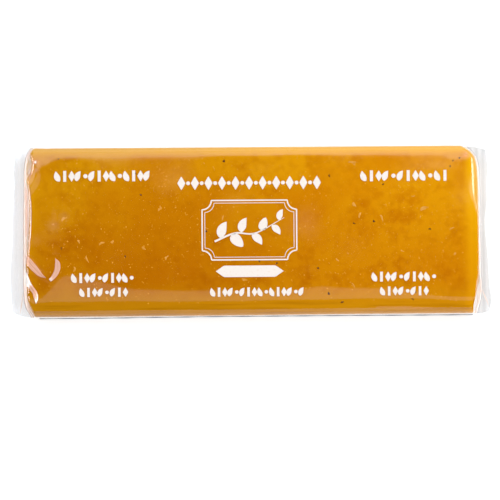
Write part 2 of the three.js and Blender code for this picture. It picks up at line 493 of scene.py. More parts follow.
    def end_x(self, end: FilmEnd, inside: float, out: float, y: np.ndarray) -> np.ndarray:
        """Where a section near one end crosses each y.

        Args:
            end: the end that the section belongs to.
            inside: how far inside the fin's root it is.
            out: its share of the way out to the fin's tip.
            y: places across the slab.

        Returns:
            The section's x at each y.
        """
        root = read_edge(end.root, y) - end.side * end.depth(inside, y)
        return mix(root, read_edge(end.tip, y), out)

    def rise(self, inside: np.ndarray, slope: float, radius: float, reach: float) -> np.ndarray:
        """Height of a face above fin level, at `inside` from the fin's root."""
        climbing = self.fin_half + (reach - radius - self.fin_half) * inside / slope
        left = np.clip((slope + radius - inside) / radius, 0.0, 1.0)
        rounded = reach - radius * (1 - np.sqrt(1 - left * left))
        return np.where(inside < slope, climbing, rounded)

    def half_width(self, end: FilmEnd | None, inside: float, out: float,
                   edge: tuple[float, float]) -> tuple[float, float]:
        """Half width of a section at fin level and at its faces.

        Args:
            end: the end that the section belongs to, or None in the middle.
            inside: how far inside the fin's root it is.
            out: its share of the way out to the fin's tip.
            edge: half widths of the fin at its root and at its tip.

        Returns:
            The half width at fin level and that of the faces.
        """
        if end is None:
            return SLAB_HALF_WIDTH, SLAB_HALF_WIDTH
        fin = edge[0] + (edge[1] - edge[0]) * out * out
        share = min(1.0, max(0.0, 1 - inside / CORNER_RADIUS))
        body = SLAB_HALF_WIDTH - CORNER_RADIUS * (1 - math.sqrt(1 - share * share))
        web = mix(fin, SLAB_HALF_WIDTH, float(smooth(np.array(inside / FOLDED_LENGTH))))
        return web, mix(fin, body, float(smooth(np.array(inside / end.slope))))

    def measures(self) -> np.ndarray:
        """Heights, radii and half widths of every section, one row each."""
        rows = []
        for end, inside, out, _ in self.stations():
            above = below = FIN_LEVEL
            if end:
                above = float(self.rise(inside, end.slope, end.edge_radius, SLAB_HEIGHT - FIN_LEVEL))
                below = float(self.rise(inside, end.slope, BOTTOM_EDGE_RADIUS, FIN_LEVEL))
            widths = self.half_width(end, inside, out, end.back if end else (0, 0))
            widths += self.half_width(end, inside, out, end.front if end else (0, 0))
            top_radius = min(TOP_EDGE_RADIUS, self.radius_share * above)
            bottom_radius = min(BOTTOM_EDGE_RADIUS, self.radius_share * below)
            rows.append((FIN_LEVEL + above, FIN_LEVEL - below, top_radius, bottom_radius, *widths))
        return np.array(rows)

    def station_x(self, station: np.ndarray, y: np.ndarray) -> np.ndarray:
        """The x of points that lie on numbered sections at y."""
        stations = self.stations()
        ends = [s for s in stations if s[0]]
        inner_left = [s for s in ends if s[0].side < 0][-1]
        inner_right = [s for s in ends if s[0].side > 0][0]
        x = np.zeros_like(y)
        for number, (end, inside, out, share) in enumerate(stations):
            here = station == number
            if end:
                x[here] = self.end_x(end, inside, out, y[here])
            else:
                left, right = (self.end_x(*inner[:3], y[here]) for inner in (inner_left, inner_right))
                x[here] = mix(left, right, share)
        return x

    def place(self, lattice: np.ndarray) -> np.ndarray:
        """Carry grid points onto the film's outer face.

        Args:
            lattice: whole numbers of section, column and row.

        Returns:
            Points in millimetres.
        """
        station, column, row = lattice.T
        top, bottom, top_r, bottom_r, web_b, face_b, web_f, face_f = self.measures()[station].T
        z = self.up.marks(bottom, top, bottom_r, top_r, row)
        upper = z > FIN_LEVEL
        reach = np.where(upper, top - FIN_LEVEL, FIN_LEVEL - bottom)
        tilt = np.clip(np.abs(z - FIN_LEVEL) / reach, 0, 1) ** self.side_tilt_power
        back = mix(web_b, face_b, tilt)
        front = -mix(web_f, face_f, tilt)
        radius = np.where(upper, top_r, bottom_r)
        y = self.across.marks(front, back, radius, radius, column)
        rim = (column == 0) | (column == self.across.count) | (row == 0) | (row == self.up.count)
        inner_y = np.clip(y, front + radius, back - radius)
        inner_z = np.clip(z, bottom + bottom_r, top - top_r)
        off = np.hypot(y - inner_y, z - inner_z)
        pull = np.where(rim & (off > 1e-9), radius / np.maximum(off, 1e-9), 1.0)
        y = inner_y + (y - inner_y) * pull
        z = inner_z + (z - inner_z) * pull
        x = self.station_x(station, y)
        share = smooth((z - FIN_LEVEL) / (SLAB_HEIGHT - FIN_LEVEL))
        relief = self.relief(x, y) + sum(fold.rise(x, y) for fold in self.folds)
        return self.draw_in(np.column_stack([x, y, z + share * relief + self.fin_bend(station, y)]))

    def fin_bend(self, station: np.ndarray, y: np.ndarray) -> np.ndarray:
        """How the fins droop and flutter, by section and y."""
        bend = np.zeros_like(y)
        for number, (end, _, out, _) in enumerate(self.stations()):
            if out > 0:
                here = station == number
                height, length, shift = end.fin_wave
                flutter = height * np.sin(2 * math.pi * y[here] / length + shift)
                bend[here] = out * out * (flutter - self.fin_droop)
        return bend


# Meshes


def lattice_shell(counts: tuple[int, int, int]) -> tuple[np.ndarray, np.ndarray]:
    """Grid points on the outside of a block, with the faces that join them.

    Args:
        counts: how many cells the block has along, across and up.

    Returns:
        Whole-number grid points, and quads that face out.
    """
    size = tuple(n + 1 for n in counts)
    i, j, k = np.indices(size)
    shell = (i == 0) | (i == counts[0]) | (j == 0) | (j == counts[1]) | (k == 0) | (k == counts[2])
    number = np.full(size, -1)
    number[shell] = np.arange(shell.sum())
    points = np.argwhere(shell)
    quads = []
    for axis in range(3):
        for last in (0, counts[axis]):
            sheet = np.take(number, last, axis=axis)
            corners = [sheet[:-1, :-1], sheet[1:, :-1], sheet[1:, 1:], sheet[:-1, 1:]]
            outward = (last > 0) != (axis == 1)
            ordered = corners if outward else corners[::-1]
            quads.append(np.stack([c.ravel() for c in ordered], axis=1))
    return points, np.vstack(quads)


def thin_grid(steps: tuple[int, int]) -> tuple[np.ndarray, ...]:
    """The shell of a thin strip.

    Args:
        steps: how many cells the strip has along and across.

    Returns:
        Its grid points and quads, then how far along, across and up each point is, from 0 to 1.
    """
    lattice, quads = lattice_shell((*steps, 1))
    return lattice, quads, *(lattice / np.array((*steps, 1))).T


@dataclass
class Workshop:
    """Turns millimetre points of the design frame into objects of the part's frame."""

    shift: Vector

    @classmethod
    def fitted(cls) -> "Workshop":
        """Work out the shift that brings the pack's middle to the middle of its box."""
        low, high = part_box(PACK_NODE)
        left, right, front, back = PACK_REACH
        middle = (low + high) / 2 / MM
        return cls(Vector((middle.x - (left + right) / 2, middle.y - (front + back) / 2, 0)))

    def to_frame(self, points: np.ndarray) -> np.ndarray:
        """Move millimetre points to the part's frame, in metres."""
        return (points + np.array(self.shift)) * MM

    def piece(self, name: str, points: np.ndarray, faces: list, material: bpy.types.Material,
              slot: Slot, flat: bool = False) -> bpy.types.Object:
        """Make a piece that rides on the pack's body and stands for the pack's solid.

        Args:
            name: the piece's name.
            points: its vertices, in millimetres.
            faces: vertex numbers of each face.
            material: its finish.
            slot: the record's slot that the finish belongs to; not used.
            flat: whether its faces stay flat shaded.

        Returns:
            The new object.
        """
        mesh = bpy.data.meshes.new(name)
        mesh.from_pydata(self.to_frame(points).tolist(), [], [list(map(int, f)) for f in faces])
        mesh.validate()
        mesh.materials.append(material)
        if not flat:
            mesh.shade_smooth()
        piece = bpy.data.objects.new(name, mesh)
        bpy.context.scene.collection.objects.link(piece)
        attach(piece, BODY)
        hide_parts(PACK_NODE)
        log.info("%s: %d vertices, %d faces", name, len(mesh.vertices), len(mesh.polygons))
        return piece


def paint(piece: bpy.types.Object, name: str, values: np.ndarray) -> None:
    """Store a value for each vertex, for a material to read."""
    layer = piece.data.attributes.new(name, "FLOAT", "POINT")
    layer.data.foreach_set("value", values.astype(np.float32))


# Shader building


@dataclass
class Board:
    """A node tree with short ways to add and join nodes."""

    tree: bpy.types.NodeTree

    def add(self, kind: str, **settings: object) -> bpy.types.Node:
        """Add a node and set its properties."""
        node = self.tree.nodes.new(kind)
        for name, value in settings.items():
            setattr(node, name, value)
        return node

    def feed(self, socket: bpy.types.NodeSocket, value: object) -> None:
        """Join a socket to another one, or set it to a plain value."""
        if isinstance(value, bpy.types.NodeSocket):
            self.tree.links.new(value, socket)
        else:
            socket.default_value = value

    def math(self, operation: str, *values: object, clamp: bool = False) -> bpy.types.NodeSocket:
        """Combine numbers with a Math node."""
        node = self.add("ShaderNodeMath", operation=operation, use_clamp=clamp)
        for socket, value in zip(node.inputs, values):
            self.feed(socket, value)
        return node.outputs[0]

    def span(self, value: object, low: float, high: float, start: float = 0.0,
             stop: float = 1.0) -> bpy.types.NodeSocket:
        """Ease a value from start at low to stop at high."""
        node = self.add("ShaderNodeMapRange", interpolation_type="SMOOTHSTEP")
        for name, given in zip(("Value", "From Min", "From Max", "To Min", "To Max"),
                               (value, low, high, start, stop)):
            self.feed(node.inputs[name], given)
        return node.outputs["Result"]

    def blend(self, share: object, one: object, other: object, kind: str = "MIX") -> bpy.types.NodeSocket:
        """Mix two colours."""
        node = self.add("ShaderNodeMix", data_type="RGBA", blend_type=kind)
        self.feed(node.inputs["Factor"], share)
        self.feed(node.inputs[6], one)
        self.feed(node.inputs[7], other)
        return node.outputs[2]

    def multiply(self, one: object, other: object) -> bpy.types.NodeSocket:
        """Multiply two colours."""
        return self.blend(1.0, one, other, "MULTIPLY")

    def noise(self, place: bpy.types.NodeSocket, grain: float, detail: float = 2.0) -> bpy.types.NodeSocket:
        """Soft noise whose lumps are about `grain` millimetres wide."""
        return self.scaled_noise(place, 1 / grain, detail)

    def wide_noise(self, place: bpy.types.NodeSocket, width: bpy.types.NodeSocket, share: float = 1.0,
                   detail: float = 1.0) -> bpy.types.NodeSocket:
        """Soft noise whose lumps are a share of a width that a socket gives."""
        return self.scaled_noise(place, self.math("DIVIDE", 1.0 / share, width), detail)

    def scaled_noise(self, place: bpy.types.NodeSocket, scale: object, detail: float) -> bpy.types.NodeSocket:
        """Soft noise with `scale` lumps to a millimetre."""
        node = self.add("ShaderNodeTexNoise")
        for name, value in (("Vector", place), ("Scale", scale), ("Detail", detail)):
            self.feed(node.inputs[name], value)
        return node.outputs["Fac"]

    def attribute(self, name: str) -> bpy.types.NodeSocket:
        """Read a value that the mesh holds for each vertex."""
        return self.add("ShaderNodeAttribute", attribute_name=name).outputs["Fac"]

    def apart(self, vector: bpy.types.NodeSocket) -> tuple:
        """Split a vector into its x, y and z."""
        node = self.add("ShaderNodeSeparateXYZ")
        self.feed(node.inputs[0], vector)
        return tuple(node.outputs)


def colour(red: float, green: float, blue: float) -> tuple[float, float, float, float]:
    """A linear colour with full alpha."""
    return (red, green, blue, 1.0)


def new_group(name: str, inputs: dict, outputs: dict) -> tuple[Board, object, object]:
    """Start a shader node group.

    Args:
        name: the group's name.
        inputs: socket type and default value of each input, by name.
        outputs: socket type of each output, by name.

    Returns:
        The group's board, its input node and its output node.
    """
    tree = bpy.data.node_groups.new(name, "ShaderNodeTree")
    for socket, (kind, value) in inputs.items():
        made = tree.interface.new_socket(name=socket, in_out="INPUT", socket_type=kind)
        if value is not None:
            made.default_value = value
    for socket, kind in outputs.items():
        tree.interface.new_socket(name=socket, in_out="OUTPUT", socket_type=kind)
    board = Board(tree)
    return board, board.add("NodeGroupInput"), board.add("NodeGroupOutput")


FLOAT = "NodeSocketFloat"
COLOUR = "NodeSocketColor"
VECTOR = "NodeSocketVector"


@dataclass(frozen=True)
class ToastMottle:
    """Uneven caramel colour: broad clouds, finer marbling and tiny grains."""

    name: str = "toast_mottle"

    def build(self) -> bpy.types.NodeTree:
        """Make the group once and return it."""
        if self.name in bpy.data.node_groups:
            return bpy.data.node_groups[self.name]
        board, given, made = new_group(
            self.name,
            {"Place": (VECTOR, None), "Light": (COLOUR, colour(0.64, 0.28, 0.002)),
             "Middle": (COLOUR, colour(0.58, 0.21, 0.001)), "Deep": (COLOUR, colour(0.5, 0.16, 0.0006)),
             "Cloud": (FLOAT, 42.0), "Grain": (FLOAT, 0.7)},
            {"Color": COLOUR, "Grains": FLOAT, "Height": FLOAT},
        )
        place = given.outputs["Place"]
        cloud = board.wide_noise(place, given.outputs["Cloud"], 1.0, 3.0)
        marble = board.wide_noise(place, given.outputs["Cloud"], 0.34, 4.0)
        fine = board.wide_noise(place, given.outputs["Grain"], 1.0, 2.0)
        curd = board.wide_noise(place, given.outputs["Cloud"], 0.07, 3.0)
        lit = board.blend(board.span(cloud, 0.36, 0.64), given.outputs["Middle"], given.outputs["Light"])
        deep = board.math("MULTIPLY", board.span(marble, 0.40, 0.78), 0.7)
        shaded = board.math("ADD", deep, board.span(curd, 0.3, 0.7, -0.3, 0.3), clamp=True)
        toned = board.blend(shaded, lit, given.outputs["Deep"])
        grains = board.span(fine, 0.62, 0.74)
        board.feed(made.inputs["Color"], toned)
        board.feed(made.inputs["Grains"], grains)
        board.feed(made.inputs["Height"], board.math("ADD", fine, board.math("MULTIPLY", marble, 2.0)))
        return board.tree


@dataclass(frozen=True)
class FilmRipple:
    """Faint ripples of stretched film, as a height."""

    name: str = "film_ripple"

    def build(self) -> bpy.types.NodeTree:
        """Make the group once and return it."""
        if self.name in bpy.data.node_groups:
            return bpy.data.node_groups[self.name]
        board, given, made = new_group(
            self.name,
            {"Place": (VECTOR, None), "Broad": (FLOAT, 22.0), "Fine": (FLOAT, 3.0), "Share": (FLOAT, 0.12)},
            {"Height": FLOAT},
        )
        broad = board.wide_noise(given.outputs["Place"], given.outputs["Broad"])
        fine = board.wide_noise(given.outputs["Place"], given.outputs["Fine"])
        summed = board.math("ADD", broad, board.math("MULTIPLY", fine, given.outputs["Share"]))
        board.feed(made.inputs["Height"], summed)
        return board.tree


def new_material(name: str) -> tuple[bpy.types.Material, Board, bpy.types.Node]:
    """Start a material.

    Args:
        name: the material's name.

    Returns:
        The material, its board and its shader node.
    """
    material = bpy.data.materials.new(name)
    material.use_nodes = True
    board = Board(material.node_tree)
    shader = material.node_tree.nodes["Principled BSDF"]
    return material, board, shader


def place_mm(board: Board) -> bpy.types.NodeSocket:
    """The piece's own coordinates in millimetres."""
    coordinates = board.add("ShaderNodeTexCoord")
    node = board.add("ShaderNodeVectorMath", operation="SCALE")
    board.feed(node.inputs[0], coordinates.outputs["Object"])
    board.feed(node.inputs["Scale"], 1 / MM)
    return node.outputs["Vector"]


def use_group(board: Board, tree: bpy.types.NodeTree, **values: object) -> bpy.types.Node:
    """Place a node group and set its inputs."""
    node = board.add("ShaderNodeGroup", node_tree=tree)
    for name, value in values.items():
        board.feed(node.inputs[name], value)
    return node


def bump(board: Board, shader: bpy.types.Node, height: object, strength: float, depth: float) -> None:
    """Give a shader a bump of `depth` millimetres for each unit of height."""
    node = board.add("ShaderNodeBump")
    board.feed(node.inputs["Height"], height)
    board.feed(node.inputs["Strength"], strength)
    board.feed(node.inputs["Distance"], depth * MM)
    board.feed(shader.inputs["Normal"], node.outputs["Normal"])


# Finishes

RIPPLE_SIZES = {"Broad": 20.0, "Fine": 2.6, "Share": 0.06}
RIPPLE_BUMP = (0.35, 0.12)
# Levels of the painted veil on the fins and the front hem: a lighter veil on the left fin, which lies in the
# block's shade, and a darker one on the right fin and the hem.
LIGHT_VEIL_LEVEL = 0.5
SHADE_VEIL_LEVEL = 1.0


@dataclass(frozen=True)
class NougatFinish:
    """Caramelised yolk paste: amber glaze on top, granular yellow paste on the sides, with light and shade
    painted into the top's colour.
    """

    light: tuple = colour(0.650, 0.272, 0.0022)
    middle: tuple = colour(0.585, 0.205, 0.0010)
    deep: tuple = colour(0.515, 0.165, 0.0006)
    paste: tuple = colour(0.72, 0.41, 0.050)
    back_rim: tuple = colour(0.76, 0.36, 0.006)
    front_rim: tuple = colour(0.67, 0.33, 0.006)
    # Painted glow of the translucent end edges lit from the right: full at the right end, half as strong at
    # the left.
    end_glow: tuple = colour(0.78, 0.38, 0.003)
    crumb: tuple = colour(0.76, 0.35, 0.016)
    # Colour of the darker lines of painted reflection on the front roll.
    reflection_streak_colour: tuple = colour(0.50, 0.215, 0.0020)
    # Painted light and shade: the top is painted lighter towards its back and darker towards its front, and
    # lighter towards its right end (length_shade), as the light falls from the back and the right.
    back_painted_light: tuple = colour(1.10, 1.18, 1.1)
    front_painted_shade: tuple = colour(0.90, 0.81, 0.6)
    cloud_width: float = 46.0
    grain_width: float = 0.75
    toast_line: Reach = (SLAB_HEIGHT - 6.5, SLAB_HEIGHT - 2.5)
    toast_wander: tuple[float, float] = (6.0, 4.0)
    paste_width: float = 1.1
    paste_share: Reach = (0.42, 0.62)
    crumb_share: float = 0.4
    back_reach: Reach = (35.5, 39.5, 0.0, 0.9)
    front_reach: Reach = (-37.0, -24.0, 0.8, 0.0)
    right_reach: Reach = (103.0, 108.5, 0.0, 0.8)
    left_reach: Reach = (-110.0, -101.0, 0.5, 0.0)
    painted_light_reach: Reach = (-34.0, 38.0)
    length_shade: Reach = (-110.0, 110.0, 0.93, 1.12)
    reflection_streak_size: tuple[float, float, float] = (34.0, 1.3, 6.0)
    reflection_streak_share: Reach = (0.45, 0.75, 0.0, 0.75)
    reflection_streak_reach: Reach = (-36.5, -33.0, 1.0, 0.0)
    roughness: tuple[float, float] = (0.4, 0.5)
    specular: float = 0.0
    relief: tuple[float, float] = (0.5, 0.12)

    def build(self) -> bpy.types.Material:
        """Make the material."""
        material, board, shader = new_material("toasted_yolk_nougat")
        place = place_mm(board)
        mottle = use_group(board, ToastMottle().build(), Place=place, Light=self.light, Middle=self.middle,
                           Deep=self.deep, Cloud=self.cloud_width, Grain=self.grain_width)
        toned, grains, height = mottle.outputs
        x, y, z = board.apart(place)
        wander_width, wander_depth = self.toast_wander
        wander = board.math("MULTIPLY", board.noise(place, wander_width, 3.0), wander_depth)
        level = board.math("ADD", z, wander)
        pasty = board.span(board.noise(place, self.paste_width, 3.0), *self.paste_share)
        glaze = board.blend(board.math("MULTIPLY", grains, self.crumb_share), toned, self.crumb)
        rimmed = board.blend(board.span(y, *self.back_reach), glaze, self.back_rim)
        rimmed = board.blend(board.span(y, *self.front_reach), rimmed, self.front_rim)
        # Painted glow at both ends of the top.
        ends = board.math("ADD", board.span(x, *self.right_reach), board.span(x, *self.left_reach))
        rimmed = board.blend(ends, rimmed, self.end_glow)
        # Painted reflection lines on the front roll.
        reflection_streaked = board.blend(self.painted_reflection_streaks(board, place, y), rimmed, self.reflection_streak_colour)
        inside = board.blend(pasty, self.paste, toned)
        dressed = board.blend(board.span(level, *self.toast_line), inside, reflection_streaked)
        # Painted light and shade across the top, then along it.
        tint = board.blend(board.span(y, *self.painted_light_reach), self.front_painted_shade, self.back_painted_light)
        shaded = board.multiply(board.multiply(dressed, tint), board.span(x, *self.length_shade))
        board.feed(shader.inputs["Base Color"], shaded)
        board.feed(shader.inputs["Roughness"], board.span(grains, 0, 1, *self.roughness))
        shader.inputs["Specular IOR Level"].default_value = self.specular
        bump(board, shader, height, *self.relief)
        return material

    def painted_reflection_streaks(self, board: Board, place: object, across: object) -> bpy.types.NodeSocket:
        """Long fine darker lines painted where the top rolls down to the front edge: painted reflection."""
        drawn = board.add("ShaderNodeVectorMath", operation="MULTIPLY")
        board.feed(drawn.inputs[0], place)
        board.feed(drawn.inputs[1], tuple(1 / size for size in self.reflection_streak_size))
        lines = board.span(board.noise(drawn.outputs["Vector"], 1.0), *self.reflection_streak_share)
        return board.math("MULTIPLY", lines, board.span(across, *self.reflection_streak_reach))


@dataclass(frozen=True)
class FilmFinish:
    """Clear glossy film. It shows what is behind it but for its reflection, its milkiness and the highlights
    painted on its folds.

    The mesh says how cloudy the film is and how much highlight is painted on it, where it is finely pleated
    (`pleat`), and how its veil is painted:
    lighter at the lower mark, on the left fin, which lies in the block's shade, and darker at the higher, on
    the right fin and on the front hem.
    """

    clear: tuple = colour(0.98, 0.93, 0.89)
    # Colours of the highlights painted on the film's folds and flaps: pink over the amber, then white where
    # the highlight is strong.
    crease_and_highlight: tuple = colour(1.0, 0.62, 0.46)
    white: tuple = colour(1.0, 0.94, 0.90)
    # Painted light and shade of the fins' veil: lighter and bluer on the left fin, darker on the right fin
    # and the front hem.
    lit_veil: tuple = colour(0.70, 0.78, 0.92)
    shade_veil: tuple = colour(0.28, 0.31, 0.36)
    index: float = 1.5
    roughness: float = 0.05
    creased: float = 0.16
    crease_and_highlight_reach: Reach = (0.0, 0.12)
    white_reach: Reach = (0.6, 0.95)
    pleat_pitch: float = 0.72
    pleat_height: float = 0.6

    def build(self) -> bpy.types.Material:
        """Make the material."""
        material, board, shader = new_material("clear_film")
        place = place_mm(board)
        ripple = use_group(board, FilmRipple().build(), Place=place, **RIPPLE_SIZES)
        haze_and_highlight, pleat, veil_light_and_shade = (board.attribute(name) for name in ("haze_and_highlight", "pleat", "veil_light_and_shade"))
        facing = board.add("ShaderNodeLayerWeight")
        facing.inputs["Blend"].default_value = 0.5
        bounce = ((self.index - 1) / (self.index + 1)) ** 2
        grazing = board.math("POWER", facing.outputs["Facing"], 5.0)
        single = board.math("ADD", board.math("MULTIPLY", grazing, 1 - bounce), bounce)
        mirror = board.math("DIVIDE", board.math("MULTIPLY", single, 2.0), board.math("ADD", single, 1.0))
        veil = board.math("MULTIPLY", haze_and_highlight, board.math("SUBTRACT", 1.0, mirror))
        cover = board.math("ADD", mirror, veil, clamp=True)
        board.feed(shader.inputs["Alpha"], cover)
        board.feed(shader.inputs["Metallic"], board.math("DIVIDE", mirror, cover, clamp=True))
        board.feed(shader.inputs["Roughness"], board.span(haze_and_highlight, 0, 1, self.roughness, self.creased))
        # Painted highlight: pink, then white, as the painted amount grows.
        creased = board.blend(board.span(haze_and_highlight, *self.crease_and_highlight_reach), self.clear, self.crease_and_highlight)
        whitened = board.blend(board.span(haze_and_highlight, *self.white_reach), creased, self.white)
        # Painted light and shade of the veil on the fins and the hem.
        painted_veil = board.blend(board.span(veil_light_and_shade, LIGHT_VEIL_LEVEL, SHADE_VEIL_LEVEL), self.lit_veil, self.shade_veil)
        tinted = board.blend(board.span(veil_light_and_shade, 0.0, LIGHT_VEIL_LEVEL), whitened, painted_veil)
        board.feed(shader.inputs["Base Color"], tinted)
        turn = board.math("MULTIPLY", board.apart(place)[1], 2 * math.pi / self.pleat_pitch)
        pleats = board.math("MULTIPLY", board.math("SINE", turn), pleat)
        raised = board.math("MULTIPLY", pleats, self.pleat_height)
        bump(board, shader, board.math("ADD", ripple.outputs["Height"], raised), *RIPPLE_BUMP)
        return material


@dataclass(frozen=True)
class InkFinish:
    """Opaque white ink, a little uneven, following the film's ripples."""

    ink: tuple = colour(0.86, 0.79, 0.74)
    thin: tuple = colour(0.80, 0.66, 0.55)
    patch_width: float = 0.9
    patch_share: Reach = (0.55, 0.8)
    roughness: tuple[float, float] = (0.42, 0.6)

    def build(self) -> bpy.types.Material:
        """Make the material."""
        material, board, shader = new_material("white_ink")
        place = place_mm(board)
        ripple = use_group(board, FilmRipple().build(), Place=place, **RIPPLE_SIZES)
        patchy = board.span(board.noise(place, self.patch_width), *self.patch_share)
        board.feed(shader.inputs["Base Color"], board.blend(patchy, self.ink, self.thin))
        board.feed(shader.inputs["Roughness"], board.span(patchy, 0, 1, *self.roughness))
        bump(board, shader, ripple.outputs["Height"], *RIPPLE_BUMP)
        return material


@dataclass(frozen=True)
class FleckFinish:
    """A fleck's own colours over the shared mottle."""

    name: str
    light: tuple
    middle: tuple
    deep: tuple
    roughness: float

    def build(self) -> bpy.types.Material:
        """Make the material."""
        material, board, shader = new_material(self.name)
        mottle = use_group(board, ToastMottle().build(), Place=place_mm(board), Light=self.light,
                           Middle=self.middle, Deep=self.deep, Cloud=3.0, Grain=0.2)
        board.feed(shader.inputs["Base Color"], mottle.outputs["Color"])
        shader.inputs["Roughness"].default_value = self.roughness
        shader.inputs["Specular IOR Level"].default_value = 0.25
        bump(board, shader, mottle.outputs["Height"], 0.4, 0.03)
        return material


# Pieces


@dataclass
class FilmPack:
    """The film: a closed skin round the slab, with a seal fin at each end."""

    form: FilmForm
    shop: Workshop
    material: bpy.types.Material
    # Painted highlights: the bright lines where the film leaves each fin's root.
    root_highlight: tuple[float, float] = (0.8, 0.95)
    root_highlight_line: float = 0.92
    rim_haze: float = 0.08
    # How thick the fins' veil is painted: thicker on the right fin and towards the back, where the floor
    # under it is brighter; painted shade over the fins' own cloudiness.
    fin_haze_and_shade: tuple[Points, Points] = (
        ((-42, 0.07), (10, 0.07), (42, 0.12)),
        ((-42, 0.11), (5, 0.11), (20, 0.08), (32, 0.09), (42, 0.17)),
    )
    weld_stripe: tuple[float, float] = (0.3, 1.9)
    # Painted bounce light: the pink strip where the film climbs from the left fin, over a gap lit by the
    # amber block.
    climb_bounce_light: Points = ((-42, 0.0), (-3, 0.0), (2, 0.22), (20, 0.22), (26, 0.0), (42, 0.0))
    # Painted highlights and soft painted reflections on the film: (x, y, radius, strength).
    glints: tuple[tuple[float, float, float, float], ...] = (
        (-105.1, 34.3, 0.85, 1.1),
        (-104.8, 30.5, 1.1, 0.34),
        (104.6, 36.8, 1.4, 0.30),
        (-96.4, 3.4, 2.4, 0.06),
        (-91.4, 7.6, 2.0, 0.04),
    )
    pleated: tuple[float, float] = (-1.0, 24.0)

    def build(self) -> bpy.types.Object:
        """Make the skin and mark its folds and seals with painted highlight, bounce light and veil."""
        counts = (len(self.form.stations()) - 1, self.form.across.count, self.form.up.count)
        lattice, quads = lattice_shell(counts)
        points = self.form.place(lattice)
        piece = self.shop.piece("film", points, quads, self.material, Slot.FILM)
        station = lattice[:, 0]
        root = self.form.fin_steps
        climbing = (station > root) & (station <= root + self.form.slope_steps)
        # Painted highlights of the folds and glints, with the seals' cloudiness and painted light.
        milk_and_highlight = self.fold_highlights(points) + self.seals(lattice, counts, points)
        left, right = self.fins(station, counts[0])
        # Painted bounce light where the film climbs at the left end.
        paint(piece, "haze_and_highlight", milk_and_highlight + climbing * read_edge(self.climb_bounce_light, points[:, 1]))
        # Which veil is painted: the lighter one on the left fin, the darker one on the right fin.
        paint(piece, "veil_light_and_shade", LIGHT_VEIL_LEVEL * left + SHADE_VEIL_LEVEL * right)
        paint(piece, "pleat", climbing * self.pleats(points[:, 1]))
        return piece

    def fins(self, station: np.ndarray, last: int) -> tuple[np.ndarray, np.ndarray]:
        """Which points lie on the left fin and which on the right one, clear of their roots."""
        out = self.form.fin_steps - 1
        return station < out, station > last - out

    def fold_highlights(self, points: np.ndarray) -> np.ndarray:
        """How much highlight is painted on the folds of the top and at the glints, at each point."""
        x, y, z = points.T
        start, width = self.form.crease_edge
        haze_and_highlight = sum(fold.haze_and_highlight * smooth((fold.profile(x, y) - start) / width) for fold in self.form.folds)
        for spot_x, spot_y, radius, strength in self.glints:
            haze_and_highlight = haze_and_highlight + strength * np.exp(-((x - spot_x) ** 2 + (y - spot_y) ** 2) / radius**2)
        return haze_and_highlight * smooth((z - FIN_LEVEL) / 4)

    def seals(self, lattice: np.ndarray, counts: tuple[int, int, int], points: np.ndarray) -> np.ndarray:
        """How cloudy the fins, their roots and their rims are, with painted highlight lines at the roots and
        the fins' veil as painted shade.

        Args:
            lattice: the skin's grid points.
            counts: number of the last grid point each way.
            points: the skin's points in millimetres.

        Returns:
            Haze at each point.
        """
        station, column, _ = lattice.T
        root = self.form.fin_steps
        # Painted highlight lines at and beside the fins' roots.
        haze_and_highlight = self.root_highlight[0] * (station == root) + self.root_highlight[1] * (station == counts[0] - root)
        haze_and_highlight = haze_and_highlight + self.root_highlight_line * ((station == root - 1) | (station == counts[0] - root + 1))
        on_left, on_right = self.fins(station, counts[0])
        rim = (station == 0) | (station == counts[0]) | (column == 0) | (column == counts[1])
        x, y = points[:, 0], points[:, 1]
        left, right = (read_edge(line, y) for line in self.fin_haze_and_shade)
        stripe, turn = self.weld_stripe
        # The fins' veil, thicker where their floor is brighter: painted shade.
        shaded_fin_haze = np.where(x < 0, left, right) * (1 + stripe * np.sin(turn * x))
        return haze_and_highlight + (on_left | on_right) * (shaded_fin_haze + self.rim_haze * rim)

    def pleats(self, y: np.ndarray) -> np.ndarray:
        """How strongly the climbing film is drawn into fine pleats at each y."""
        low, high = self.pleated
        return smooth((y - low) / 3) * smooth((high - y) / 3)


@dataclass(frozen=True)
class FlapShape:
    """Where one flap of slack film lies, and how much highlight is painted on its rims, middle, head and tip.
    """

    name: str
    end: FilmEnd
    path: Points
    half: tuple[float, ...]
    edge_sheen: float
    middle_sheen: float
    head_sheen: float = 0.0
    tip_sheen: float = 0.0
    arch: float = 0.25
    pleat_count: float = 1.5
    pleat_height: float = 0.08
    stripe: float = 0.0


def crease_line(name: str, end: FilmEnd, path: Points, half: tuple[float, ...], haze_and_highlight: float,
                arch: float = 0.0) -> FlapShape:
    """A thin line of painted highlight in the film: a flap without pleats, as bright at its rims as in its
    middle.
    """
    return FlapShape(name, end, path, half, haze_and_highlight, haze_and_highlight, arch=arch, pleat_height=0.0, stripe=0.4)


